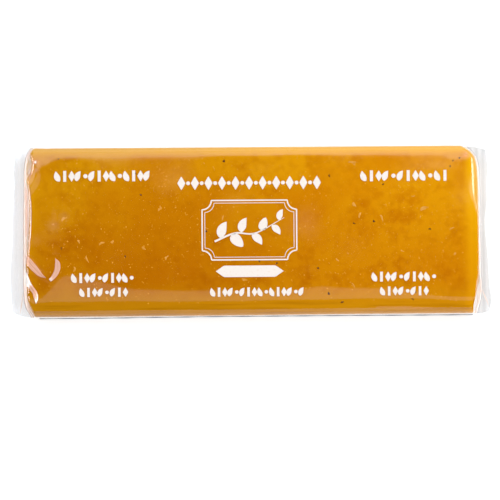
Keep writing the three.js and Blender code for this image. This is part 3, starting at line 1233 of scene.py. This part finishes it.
# The pale rims, lines and flaps below carry painted highlights and reflections on folds of the film.
FLAPS = (
    crease_line("lens_rim", LEFT_END,
                ((-107.9, 39.0), (-107.2, 37.6), (-106.2, 34.2), (-106.3, 31.2), (-107.9, 26.4),
                 (-108.8, 23.8)),
                (0.05, 0.26, 0.26, 0.26, 0.26, 0.05), 0.24),
    crease_line("lens_crease_upper", LEFT_END, ((-107.1, 32.9), (-108.3, 30.6), (-109.4, 28.6)),
                (0.05, 0.28, 0.05), 0.24),
    crease_line("lens_crease_lower", LEFT_END, ((-106.6, 30.4), (-107.9, 28.1), (-109.0, 26.1)),
                (0.05, 0.28, 0.05), 0.24),
    crease_line("left_edge_crease", LEFT_END,
                ((-108.5, 23.6), (-107.9, 18.3), (-107.4, 13.4), (-107.3, 6.1), (-107.6, 0.3),
                 (-108.3, -6.1), (-108.9, -9.5)),
                (0.05, 0.30, 0.26, 0.22, 0.22, 0.22, 0.05), 0.66),
    FlapShape("ridge_flap", LEFT_END,
              ((-110.2, -10.6), (-108.3, -14.5), (-105.4, -17.9), (-102.9, -20.6), (-100.2, -22.2)),
              (0.6, 1.6, 1.65, 1.2, 0.1), 0.50, 0.50, arch=0.1, pleat_count=3.5, stripe=0.15),
    FlapShape("crescent_flap", LEFT_END,
              ((-95.6, -12.7), (-94.6, -14.9), (-94.5, -17.4), (-95.3, -19.8), (-96.8, -22.0),
               (-98.3, -23.4)),
              (0.05, 1.15, 1.35, 1.25, 1.05, 0.75), 0.55, 0.60, tip_sheen=0.2, arch=0.05,
              pleat_height=0.02, stripe=0.05),
    FlapShape("blade_flap", LEFT_END,
              ((-110.5, -18.0), (-109.8, -21.6), (-109.0, -24.6), (-107.3, -27.0), (-105.6, -29.5),
               (-105.0, -32.1), (-105.1, -34.7)),
              (0.1, 0.95, 1.35, 1.15, 1.1, 1.15, 0.1), 0.60, 0.54, head_sheen=0.4, tip_sheen=0.4,
              stripe=0.15),
    crease_line("left_fin_crease", LEFT_END, ((-111.6, -28.8), (-112.4, -34.5), (-113.2, -39.0)),
                (0.1, 0.35, 0.1), 0.97, arch=0.02),
    crease_line("right_fin_crease", RIGHT_END, ((112.2, -28.4), (113.9, -32.6), (115.4, -36.4)),
                (0.1, 0.35, 0.1), 0.97, arch=0.02),
)


@dataclass
class CreaseFlap:
    """A flap of slack film at a corner, pressed flat, with painted highlight on its edges and pleats along
    it.
    """

    shape: FlapShape
    form: FilmForm
    shop: Workshop
    material: bpy.types.Material
    lift: float = 0.12
    thickness: float = 0.06
    rim: tuple[float, float] = (0.55, 0.35)
    head: tuple[float, float] = (0.55, 0.12)
    tip: tuple[float, float] = (0.8, 0.15)
    pleat_drift: float = 3.0
    stripe_turn: float = 9.0
    steps: tuple[int, int] = (64, 16)

    def build(self) -> bpy.types.Object:
        """Make the flap and mark its edges."""
        shape = self.shape
        lattice, quads, along, across, layer = thin_grid(self.steps)
        spine = smooth_path(shape.path, self.steps[0] + 1)
        tangent = np.gradient(spine, axis=0)
        tangent /= np.linalg.norm(tangent, axis=1, keepdims=True)
        half = np.interp(along, np.linspace(0, 1, len(shape.half)), shape.half)
        offset = 2 * across - 1
        rows = lattice[:, 0]
        x = spine[rows, 0] - tangent[rows, 1] * half * offset
        y = spine[rows, 1] + tangent[rows, 0] * half * offset
        turn = 2 * math.pi * shape.pleat_count * across + self.pleat_drift * along
        pleats = shape.pleat_height * np.sin(turn)
        z = self.form.surface(shape.end, x, y) + self.lift + shape.arch * (1 - offset**2) + pleats
        points = np.column_stack([x, y, z + self.thickness * layer])
        piece = self.shop.piece(shape.name, points, quads, self.material, Slot.FILM)
        # Painted highlight, brighter at the rims, head and tip.
        striped = shape.middle_sheen * (1 + shape.stripe * np.sin(self.stripe_turn * across))
        haze_and_highlight = mix(striped, shape.edge_sheen, smooth((np.abs(offset) - self.rim[0]) / self.rim[1]))
        head = shape.head_sheen * smooth((self.head[0] - along) / self.head[1])
        tip = shape.tip_sheen * smooth((along - self.tip[0]) / self.tip[1])
        paint(piece, "haze_and_highlight", haze_and_highlight + head + tip)
        return piece


@dataclass
class ShadowHem:
    """A narrow strip of doubled film along the foot of the front edge, painted dark to stand for the contact
    shadow there.
    """

    form: FilmForm
    shop: Workshop
    material: bpy.types.Material
    span: tuple[float, float] = (-104.0, 108.0)
    inner: float = -41.2
    outer: float = -41.62
    flutter: tuple[float, float] = (0.05, 2.3)
    level: float = 0.02
    height: float = 0.5
    thickness: float = 0.08
    haze_and_highlight: float = 0.8
    steps: tuple[int, int] = (320, 4)

    def build(self) -> bpy.types.Object:
        """Make the hem."""
        _, quads, along, across, layer = thin_grid(self.steps)
        x = mix(*self.span, along)
        flutter, flutter_length = self.flutter
        y = mix(self.inner, self.outer + flutter * np.sin(x / flutter_length), across)
        z = self.level + self.height * (1 - across) ** 2 + self.thickness * layer
        points = self.form.draw_in(np.column_stack([x, y, z]))
        piece = self.shop.piece("front_shadow_hem", points, quads, self.material, Slot.FILM)
        # Painted contact shadow: a dense, dark veil.
        paint(piece, "haze_and_highlight", np.full_like(x, self.haze_and_highlight))
        paint(piece, "veil_light_and_shade", np.full_like(x, SHADE_VEIL_LEVEL))
        return piece


@dataclass
class BackSeam:
    """The lengthwise seal of the wrap, folded flat against the underside inside the film's bottom."""

    shop: Workshop
    material: bpy.types.Material
    middle: float = 3.0
    width: float = 9.0
    span: tuple[float, float] = (-106.0, 106.5)
    level: float = 0.06
    thickness: float = 0.10
    wander: tuple[float, float] = (0.25, 19.0)
    crimp_pitch: float = 2.4
    crimp_height: float = 0.03
    crimp_stripe: float = 0.3
    haze_and_highlight: float = 0.35
    steps: tuple[int, int] = (540, 12)

    def build(self) -> bpy.types.Object:
        """Make the seam with its crimps."""
        _, quads, along, across, layer = thin_grid(self.steps)
        x = mix(*self.span, along)
        drift, drift_length = self.wander
        y = self.middle + self.width * (across - 0.5) + drift * np.sin(x / drift_length)
        crimp = np.sin(2 * math.pi * x / self.crimp_pitch)
        z = self.level + self.thickness * layer + self.crimp_height * crimp
        piece = self.shop.piece("back_seam", np.column_stack([x, y, z]), quads, self.material, Slot.FILM)
        paint(piece, "haze_and_highlight", self.haze_and_highlight * (1 - self.crimp_stripe + self.crimp_stripe * crimp))
        return piece


@dataclass
class NougatBlock:
    """The block itself: flat sides, softly rounded edges and one cut corner."""

    form: FilmForm
    shop: Workshop
    half_width: float = 41.2
    top_radius: float = 3.4
    bottom_radius: float = 2.0
    clearance: tuple[float, float] = (0.4, 0.3)
    bulge: float = 0.8
    bulge_power: float = 2.4
    end_squeeze: float = 3.0
    press_gap: float = 0.2
    dents: tuple[Points, Points] = (
        ((41, 0.0), (26, 0.1), (21, 1.0), (12, 1.6), (4, 1.5), (-1, 0.5), (-5, 0.0), (-41, 0.0)),
        ((41, 0.0), (-22, 0.0), (-27, 1.2), (-32, 1.9), (-37, 1.9), (-41, 0.8)),
    )
    grain_height: float = 0.05
    crowding: float = 0.11
    counts: tuple[int, int, int] = (190, 78, 18)
    finish: NougatFinish = field(default_factory=NougatFinish)

    def build(self) -> bpy.types.Object:
        """Make the block."""
        lattice, quads = lattice_shell(self.counts)
        share = self.crowd(lattice / np.array(self.counts))
        low = np.array([0.0, -self.half_width, FILM_GAP])
        high = np.array([1.0, self.half_width, SLAB_HEIGHT - FILM_GAP])
        length = RIGHT_END.root[4][1] - LEFT_END.root[4][1]
        stretch = np.array([length * self.end_squeeze, 1.0, 1.0])
        square = mix(low, high, share)
        u, y, z = (self.round_off(square * stretch, low * stretch, high * stretch) / stretch).T
        left, right = self.wall(LEFT_END, y, z), self.wall(RIGHT_END, y, z)
        x = mix(left, right, u)
        lift = smooth((z - FIN_LEVEL) / (SLAB_HEIGHT - FIN_LEVEL))
        z = z + lift * (self.form.relief(x, y) + self.grain(x, y))
        points = self.form.draw_in(np.column_stack([x, y, self.pressed(x, y, z)]))
        return self.shop.piece("nougat_block", points, quads, self.finish.build(), Slot.NOUGAT)

    def pressed(self, x: np.ndarray, y: np.ndarray, z: np.ndarray) -> np.ndarray:
        """Heights pressed to just inside the film, above and below fin level."""
        tops, bottoms = [], []
        for end in (LEFT_END, RIGHT_END):
            tops.append(self.form.surface(end, x, y) - self.press_gap)
            bottoms.append(self.form.underside(end, x, y) + self.press_gap)
        high = np.maximum(np.where(x < 0, tops[0], tops[1]), FIN_LEVEL)
        low = np.minimum(np.where(x < 0, bottoms[0], bottoms[1]), FIN_LEVEL)
        return np.where(z > FIN_LEVEL, np.minimum(z, high), np.maximum(z, low))

    def wall(self, end: FilmEnd, y: np.ndarray, z: np.ndarray) -> np.ndarray:
        """The x of one end wall, which bulges out at half its height to just inside the film."""
        dent = read_edge(self.dents[end.side > 0], y)
        off = np.abs(z - FIN_LEVEL) / FIN_LEVEL
        inset = self.clearance[end.side > 0] + dent + self.bulge * off**self.bulge_power
        return read_edge(end.root, y) - end.side * inset

    def crowd(self, share: np.ndarray) -> np.ndarray:
        """Crowd grid lines towards both ends, where the edges curve."""
        return share - self.crowding * np.sin(2 * math.pi * share)

    def round_off(self, square: np.ndarray, low: np.ndarray, high: np.ndarray) -> np.ndarray:
        """Round the edges and corners of a square block."""
        share = smooth((square[:, 2] - low[2]) / (high[2] - low[2]))
        radius = mix(self.bottom_radius, self.top_radius, share)[:, None]
        inner = np.clip(square, low + radius, high - radius)
        off = square - inner
        length = np.linalg.norm(off, axis=1, keepdims=True)
        return inner + off * np.where(length > 1e-9, radius / np.maximum(length, 1e-9), 0.0)

    def grain(self, x: np.ndarray, y: np.ndarray) -> np.ndarray:
        """Low pits and swells of the poured top."""
        swell = np.sin(x / 3.1 + 2 * np.sin(y / 5.3)) * np.sin(y / 2.7 + 1.4 * np.sin(x / 4.9))
        return self.grain_height * swell


@dataclass(frozen=True)
class FleckSort:
    """Size, number and looks of one kind of fleck. `noted` are the places of the ones that stand out."""

    kind: Fleck
    finish: FleckFinish
    length: tuple[float, float]
    slimness: tuple[float, float]
    thickness: float
    count: int
    seed: int
    noted: Points = ()
    proud: float = 0.09
    ragged: float = 0.5
    smoothness: int = 2


FLECKS = (
    FleckSort(
        Fleck.SLIVER,
        FleckFinish("pale_almond", colour(0.80, 0.41, 0.075), colour(0.72, 0.33, 0.035),
                    colour(0.64, 0.25, 0.010), 0.4),
        length=(1.8, 4.6), slimness=(0.22, 0.55), thickness=0.5, count=14, seed=3, smoothness=3,
        noted=((-96.6, 3.9), (-91.3, 6.8), (-73.2, -5.4), (-67.9, -4.9), (-52.8, -7.8), (-80.5, -12.7),
               (49.9, 12.6), (52.8, 7.8), (79.1, 16.5), (83.5, 10.7), (98.1, 0.9), (99.0, -11.7),
               (73.2, -10.2), (47.0, -11.2)),
    ),
    FleckSort(
        Fleck.SPECK,
        FleckFinish("dark_toast", colour(0.16, 0.05, 0.006), colour(0.09, 0.028, 0.004),
                    colour(0.04, 0.012, 0.003), 0.5),
        length=(0.7, 1.5), slimness=(0.5, 0.9), thickness=0.4, count=18, seed=5, proud=0.18,
        noted=((-53.8, 18.0), (49.9, 3.4), (59.6, 4.4), (86.9, 0.5), (98.4, 33.8), (101.5, 35.0),
               (97.0, 31.0)),
    ),
    FleckSort(
        Fleck.CRUMB,
        FleckFinish("yolk_crumb", colour(0.80, 0.40, 0.03), colour(0.74, 0.34, 0.02),
                    colour(0.66, 0.27, 0.008), 0.45),
        length=(0.3, 0.9), slimness=(0.5, 1.0), thickness=0.3, count=900, seed=7, ragged=0.3,
    ),
)


@dataclass
class Scatter:
    """Flecks half sunk in the top of the nougat, of one kind."""

    sort: FleckSort
    form: FilmForm
    shop: Workshop
    low: tuple[float, float] = (-104, -35)
    high: tuple[float, float] = (105, 36)
    lobes: tuple[int, ...] = (2, 3, 5)
    roughness: float = 0.08
    lean: float = 0.04

    def build(self) -> bpy.types.Object:
        """Make every fleck of this kind as one mesh."""
        draw = np.random.default_rng(self.sort.seed)
        base, faces = self.pebble(self.sort.smoothness)
        all_points, all_faces = [], []
        for number, (x, y) in enumerate(self.spots(draw)):
            points = self.fleck(draw, base)
            points += (x, y, self.form.top(np.array(x), np.array(y)) - FILM_GAP)
            all_faces.append(faces + number * len(base))
            all_points.append(points)
        return self.shop.piece(self.sort.kind.value, np.vstack(all_points), np.vstack(all_faces),
                               self.sort.finish.build(), Slot.NOUGAT)

    def spots(self, draw: np.random.Generator) -> np.ndarray:
        """Places of the flecks: the noted ones, then random ones over the top."""
        free = draw.uniform(self.low, self.high, (self.sort.count, 2))
        return np.vstack([np.array(self.sort.noted).reshape(-1, 2), free])

    def fleck(self, draw: np.random.Generator, base: np.ndarray) -> np.ndarray:
        """One fleck about the origin, from a round pebble."""
        sort = self.sort
        length = draw.uniform(*sort.length)
        width = length * draw.uniform(*sort.slimness)
        heading = np.arctan2(base[:, 1], base[:, 0])
        outline = 1 + sum(
            draw.normal(0, sort.ragged / lobes) * np.cos(lobes * heading + draw.uniform(0, 6.28))
            for lobes in self.lobes
        )
        rough = base * (1 + draw.normal(0, self.roughness, (len(base), 1)))
        rough[:, :2] *= outline[:, None]
        shaped = rough * (length / 2, width / 2, sort.thickness / 2)
        shaped[:, 1] += draw.uniform(-0.5, 0.5) * width * (shaped[:, 0] / length * 2) ** 2
        turn = Matrix.Rotation(draw.uniform(0, 2 * math.pi), 3, "Z")
        lean = Matrix.Rotation(draw.normal(0, self.lean), 3, "Y")
        turned = shaped @ np.array(turn @ lean).T
        turned[:, 2] += sort.proud - sort.thickness / 2
        return turned

    @staticmethod
    def pebble(smoothness: int) -> tuple[np.ndarray, np.ndarray]:
        """Points and triangles of a round pebble of radius 1."""
        work = bmesh.new()
        bmesh.ops.create_icosphere(work, subdivisions=smoothness, radius=1.0)
        points = np.array([v.co[:] for v in work.verts])
        faces = np.array([[v.index for v in f.verts] for f in work.faces])
        work.free()
        return points, faces


# Half width of each motif as a share of its size, at a share t of the way along it
MOTIF_HALVES: dict[Motif, Callable[[np.ndarray], np.ndarray]] = {
    Motif.LEAF: lambda t: 0.27 * np.sin(math.pi * t**0.8) ** 0.85,
    Motif.ALMOND: lambda t: 0.32 * np.sin(math.pi * t**0.72) ** 0.62,
    Motif.DIAMOND: lambda t: 0.30 * (1 - np.abs(2 * t - 1)) ** 0.9,
    Motif.BEAD: lambda t: 0.5 * np.sqrt(np.clip(1 - (2 * t - 1) ** 2, 0, 1)),
    Motif.BAR: lambda t: np.full_like(t, 0.14),
}


@dataclass
class Print:
    """White ornament printed on the film. Every mark is a strip of changing width along a path."""

    form: FilmForm
    shop: Workshop
    lift: float = 0.03
    thickness: float = 0.04
    leaf_bend: float = 0.10
    least_half: float = 0.02
    finish: InkFinish = field(default_factory=InkFinish)
    points: list = field(default_factory=list)
    faces: list = field(default_factory=list)

    def strip(self, path: np.ndarray, half: np.ndarray) -> None:
        """Lay one strip of ink.

        Args:
            path: (x, y) points along its middle.
            half: its half width at each point.
        """
        tangent = np.gradient(path, axis=0)
        tangent /= np.linalg.norm(tangent, axis=1, keepdims=True)
        normal = np.column_stack([-tangent[:, 1], tangent[:, 0]])
        start = sum(len(p) for p in self.points)
        left = path + normal * half[:, None]
        right = path - normal * half[:, None]
        rings = []
        for side, level in ((left, 0), (right, 0), (right, self.thickness), (left, self.thickness)):
            z = self.form.top(side[:, 0], side[:, 1]) + self.lift + level
            rings.append(np.column_stack([side, z]))
        count = len(path)
        self.points.append(np.stack(rings, axis=1).reshape(-1, 3))
        for i in range(count - 1):
            a, b = start + 4 * i, start + 4 * (i + 1)
            for k in range(4):
                n = (k + 1) % 4
                self.faces.append((a + n, a + k, b + k, b + n))
        last = start + 4 * (count - 1)
        self.faces.append((start, start + 1, start + 2, start + 3))
        self.faces.append((last + 3, last + 2, last + 1, last))

    def line(self, path: np.ndarray, half: float) -> None:
        """Lay a line of even width."""
        self.strip(path, np.full(len(path), half))

    def mark(self, motif: Motif, centre: tuple[float, float], size: float, turn: float = 90.0) -> None:
        """Lay one filled motif.

        Args:
            motif: its shape.
            centre: its middle, as (x, y).
            size: its length along its own axis.
            turn: heading of that axis in degrees.
        """
        t = np.linspace(0.0, 1.0, 15)
        bend = self.leaf_bend * (motif is Motif.LEAF) * size * np.sin(math.pi * t)
        along = (t - 0.5) * size
        angle = math.radians(turn)
        way = np.array([math.cos(angle), math.sin(angle)])
        across = np.array([-way[1], way[0]])
        path = np.array(centre) + along[:, None] * way + bend[:, None] * across
        self.strip(path, np.maximum(size * MOTIF_HALVES[motif](t), self.least_half))

    def build(self) -> bpy.types.Object:
        """Lay the whole ornament and make it one piece."""
        PrintLayout(self).lay()
        return self.shop.piece("white_print", np.vstack(self.points), self.faces,
                               self.finish.build(), Slot.PRINT, flat=True)


@dataclass
class PrintLayout:
    """Where the ornament's marks go."""

    ink: Print
    rows: tuple[tuple[float, float, float, float], ...] = (
        (-72.3, 27.3, 47.0, 6.2),
        (74.7, 26.5, 43.0, 6.2),
        (-72.4, -22.4, 31.0, 5.6),
        (-72.0, -29.4, 24.0, 5.2),
        (74.3, -22.7, 32.0, 5.6),
        (74.3, -29.7, 24.0, 5.2),
        (2.7, -29.7, 46.0, 5.2),
    )
    cartouche: tuple[float, float, float, float] = (-1.0, 0.5, 46.0, 29.0)
    cartouche_lines: tuple[tuple[float, float], ...] = ((0.0, 0.338), (1.3, 0.156))
    scoop: float = 4.5
    scoop_steps: int = 12
    frame_points: int = 260
    bar: tuple[float, float, float, float] = (-1.0, -19.6, 33.0, 5.6)
    beads: tuple[float, float, float] = (-1.0, 23.5, 66.0)

    def lay(self) -> None:
        """Lay every mark."""
        for row in self.rows:
            self.motif_row(*row)
        for inset, half in self.cartouche_lines:
            self.frame(inset, half)
        self.sprig()
        self.lozenge_bar(*self.bar)
        self.bead_row(*self.beads)

    def motif_row(self, x: float, y: float, length: float, height: float) -> None:
        """A row of small upright motifs, a larger one first.

        Args:
            x: the row's middle along the slab.
            y: the row's middle across the slab.
            length: how long the row is.
            height: how high its motifs are.
        """
        pattern = (Motif.LEAF, Motif.BAR, Motif.DIAMOND, Motif.LEAF, Motif.BEAD)
        pitch = height * 0.56
        count = max(3, round(length / pitch))
        for i in range(count):
            motif = pattern[i % len(pattern)]
            along = x + length * ((i + 0.5) / count - 0.5)
            size = height * (0.34 if motif is Motif.BEAD else 0.86)
            turn = 90.0 - 22.0 * (1 if i % 2 else -1) * (motif is Motif.LEAF)
            self.ink.mark(motif, (along, y), size, turn)

    def frame(self, inset: float, half: float) -> None:
        """One line round the cartouche, its corners scooped inwards."""
        x, y, length, width = self.cartouche
        a, b, r = length / 2 - inset, width / 2 - inset, self.scoop
        outline = []
        for sx, sy, start in ((1, 1, 270), (-1, 1, 0), (-1, -1, 90), (1, -1, 180)):
            for i in range(self.scoop_steps + 1):
                angle = math.radians(start - 90 * i / self.scoop_steps)
                outline.append((x + sx * a + r * math.cos(angle), y + sy * b + r * math.sin(angle)))
        self.ink.line(even_steps(np.array([*outline, outline[0]]), self.frame_points), half)

    def sprig(self) -> None:
        """A curved twig with leaves and almonds."""
        x, y, _, _ = self.cartouche
        twig = smooth_path(((x - 17, y - 5.5), (x - 7, y - 1.5), (x + 3, y - 1.5), (x + 17, y + 6)), 60)
        self.ink.strip(twig, np.interp(np.linspace(0, 1, 60), (0, 0.5, 1), (0.5, 0.34, 0.12)))
        for i, share in enumerate((0.10, 0.24, 0.38, 0.52, 0.66, 0.80, 0.92)):
            at = twig[int(share * 59)]
            side = 1 if i % 2 == 0 else -1
            turn = 12 + side * 58
            size = 8.6 - 0.5 * i
            way = np.array([math.cos(math.radians(turn)), math.sin(math.radians(turn))])
            motif = Motif.ALMOND if i in (1, 4) else Motif.LEAF
            self.ink.mark(motif, tuple(at + way * (size / 2 + 0.3)), size, turn)

    def lozenge_bar(self, x: float, y: float, length: float, height: float) -> None:
        """A plain filled bar with pointed ends."""
        t = np.linspace(0, 1, 40)
        path = np.column_stack([x + (t - 0.5) * length, np.full_like(t, y)])
        pointed = np.clip(np.minimum(t, 1 - t) * length / (height * 0.7), 0.01, 1)
        self.ink.strip(path, height / 2 * pointed)

    def bead_row(self, x: float, y: float, length: float) -> None:
        """A straight row of diamonds with beads between them."""
        pairs = 10
        for i in range(2 * pairs + 1):
            motif, size = ((Motif.DIAMOND, 6.6), (Motif.BEAD, 1.9))[i % 2]
            self.ink.mark(motif, (x + length * (i / (2 * pairs) - 0.5), y), size)


# Studio


@dataclass(frozen=True)
class Studio:
    """White table, soft lights that shiny film doesn't mirror, and a sky that it does."""

    distance: float = 4.0
    elevation: float = 86.5
    roll: float = 0.4
    view_width: float = 243.35
    aim: tuple[float, float] = (-0.79, -9.26)
    lights: tuple[tuple[str, tuple, float, float], ...] = (
        ("overhead_fill", (0, 0, 1.2), 1.7, 1.45),
        ("key", (0.75, 0.55, 0.95), 0.7, 2.4),
    )
    floor_half: float = 3.0
    floor_level: float = -0.0003
    floor_colours: tuple = (colour(0.71, 0.745, 0.775), colour(0.73, 0.765, 0.795))
    floor_glow: float = 0.48
    middle_back_panel: Panel = ((4.4, 8.2, 44, 60), 1.5)
    middle_front_panel: Panel = ((-13, -10, -1.5, 1.5), 0.55)
    edge_panels: tuple[Panel, ...] = (((44, 60, 105, 115), 1.8), ((-105, -95, -50, -42), 0.8))
    edge_turn: Reach = (8.0, 14.0, 1.0, 0.0)
    side_panel: Panel = ((38, 42, 62, 68), 9.0)
    side_height: Panel = ((-30, -20, 20, 30), 1.0)
    horizon: Reach = (0.1, 0.45, 0.8, 0.0)
    backdrop: float = 0.93
    surround: float = 0.42

    def build(self, shop: Workshop) -> None:
        """Make floor, lights, sky and camera."""
        self.floor()
        for light in self.lights:
            self.area(*light)
        self.sky()
        self.camera(shop)
        bpy.context.scene.view_settings.view_transform = "Standard"

    def floor(self) -> None:
        """A wide white table top just under the pack."""
        half, level = self.floor_half, self.floor_level
        corners = [(half * x, half * y, level) for x, y in ((-1, -1), (1, -1), (1, 1), (-1, 1))]
        mesh = bpy.data.meshes.new("table_top")
        mesh.from_pydata(corners, [], [(0, 1, 2, 3)])
        floor = bpy.data.objects.new("table_top", mesh)
        bpy.context.scene.collection.objects.link(floor)
        material, board, shader = new_material("white_table")
        tint = board.noise(place_mm(board), 60.0)
        board.feed(shader.inputs["Base Color"], board.blend(tint, *self.floor_colours))
        shader.inputs["Roughness"].default_value = 0.9
        shader.inputs["Specular IOR Level"].default_value = 0.0
        shader.inputs["Emission Color"].default_value = colour(1, 1, 1)
        shader.inputs["Emission Strength"].default_value = self.floor_glow
        mesh.materials.append(material)

    def area(self, name: str, place: tuple, size: float, radiance: float) -> None:
        """A square softbox that points at the slab.

        Args:
            name: its name.
            place: its middle, in metres.
            size: its side, in metres.
            radiance: how bright its face is.
        """
        light = bpy.data.lights.new(name, "AREA")
        light.shape = "SQUARE"
        light.size = size
        light.energy = radiance * math.pi * size * size
        lamp = bpy.data.objects.new(name, light)
        lamp.location = place
        lamp.rotation_euler = Vector(place).to_track_quat("Z", "Y").to_euler()
        lamp.visible_glossy = False
        lamp.visible_camera = False
        bpy.context.scene.collection.objects.link(lamp)

    def sky(self) -> None:
        """Panels that only shiny surfaces mirror, over a plain pale surround."""
        world = bpy.data.worlds.new("studio")
        bpy.context.scene.world = world
        world.use_nodes = True
        board = Board(world.node_tree)
        surround = world.node_tree.nodes["Background"]
        x, y, z = board.apart(board.add("ShaderNodeTexCoord").outputs["Generated"])
        beside = board.math("ABSOLUTE", x)
        back = self.angle(board, y, z)
        side = self.angle(board, beside, z)
        turn = self.angle(board, beside, board.math("ABSOLUTE", y))
        edges = self.brightest(board, [self.panel(board, back, panel) for panel in self.edge_panels])
        mirrored = self.brightest(board, [
            self.panel(board, back, self.middle_back_panel),
            self.panel(board, back, self.middle_front_panel),
            board.math("MULTIPLY", self.panel(board, side, self.side_panel),
                       self.panel(board, back, self.side_height)),
            board.math("MULTIPLY", edges, board.span(turn, *self.edge_turn)),
            board.span(z, *self.horizon),
        ])
        path = board.add("ShaderNodeLightPath")
        seen = board.math("ADD", board.math("MULTIPLY", path.outputs["Is Camera Ray"], self.backdrop),
                          board.math("MULTIPLY", path.outputs["Is Glossy Ray"], mirrored))
        plain = board.math("MULTIPLY", path.outputs["Is Diffuse Ray"], self.surround)
        board.feed(surround.inputs["Strength"], board.math("ADD", seen, plain))
        surround.inputs["Color"].default_value = colour(1, 1, 1)

    @staticmethod
    def angle(board: Board, opposite: object, adjacent: object) -> bpy.types.NodeSocket:
        """The angle of a direction in degrees."""
        return board.math("DEGREES", board.math("ARCTAN2", opposite, adjacent))

    @staticmethod
    def brightest(board: Board, parts: list) -> bpy.types.NodeSocket:
        """The largest of several numbers."""
        return reduce(lambda one, other: board.math("MAXIMUM", one, other), parts)

    @staticmethod
    def panel(board: Board, angle: object, panel: Panel) -> bpy.types.NodeSocket:
        """A bright band between four angles, eased at both edges."""
        (start, full, ebb, stop), radiance = panel
        rise = board.span(angle, start, full)
        fall = board.span(angle, ebb, stop, 1.0, 0.0)
        return board.math("MULTIPLY", board.math("MULTIPLY", rise, fall), radiance)

    def camera(self, shop: Workshop) -> None:
        """A camera that looks down on the slab from slightly in front of it."""
        tilt = math.radians(90 - self.elevation)
        target = Vector(shop.to_frame(np.array([[*self.aim, SLAB_HEIGHT]]))[0])
        away = Vector((0, -math.sin(tilt), math.cos(tilt)))
        data = bpy.data.cameras.new("camera")
        data.sensor_fit = "HORIZONTAL"
        data.lens = data.sensor_width * self.distance / (self.view_width * MM)
        camera = bpy.data.objects.new("camera", data)
        turn = Matrix.Rotation(math.radians(-self.roll), 4, "Z")
        lean = Matrix.Rotation(tilt, 4, "X")
        camera.matrix_world = Matrix.Translation(target + away * self.distance) @ lean @ turn
        bpy.context.scene.collection.objects.link(camera)
        bpy.context.scene.camera = camera


def main() -> None:
    """Build the studio and every piece of the pack."""
    logging.basicConfig(level=logging.INFO, format="%(message)s")
    form = FilmForm()
    shop = Workshop.fitted()
    Studio().build(shop)
    NougatBlock(form, shop).build()
    for sort in FLECKS:
        Scatter(sort, form, shop).build()
    Print(form, shop).build()
    clear = FilmFinish().build()
    FilmPack(form, shop, clear).build()
    for shape in FLAPS:
        CreaseFlap(shape, form, shop, clear).build()
    ShadowHem(form, shop, clear).build()
    BackSeam(shop, clear).build()


if __name__ == "__main__":
    main()
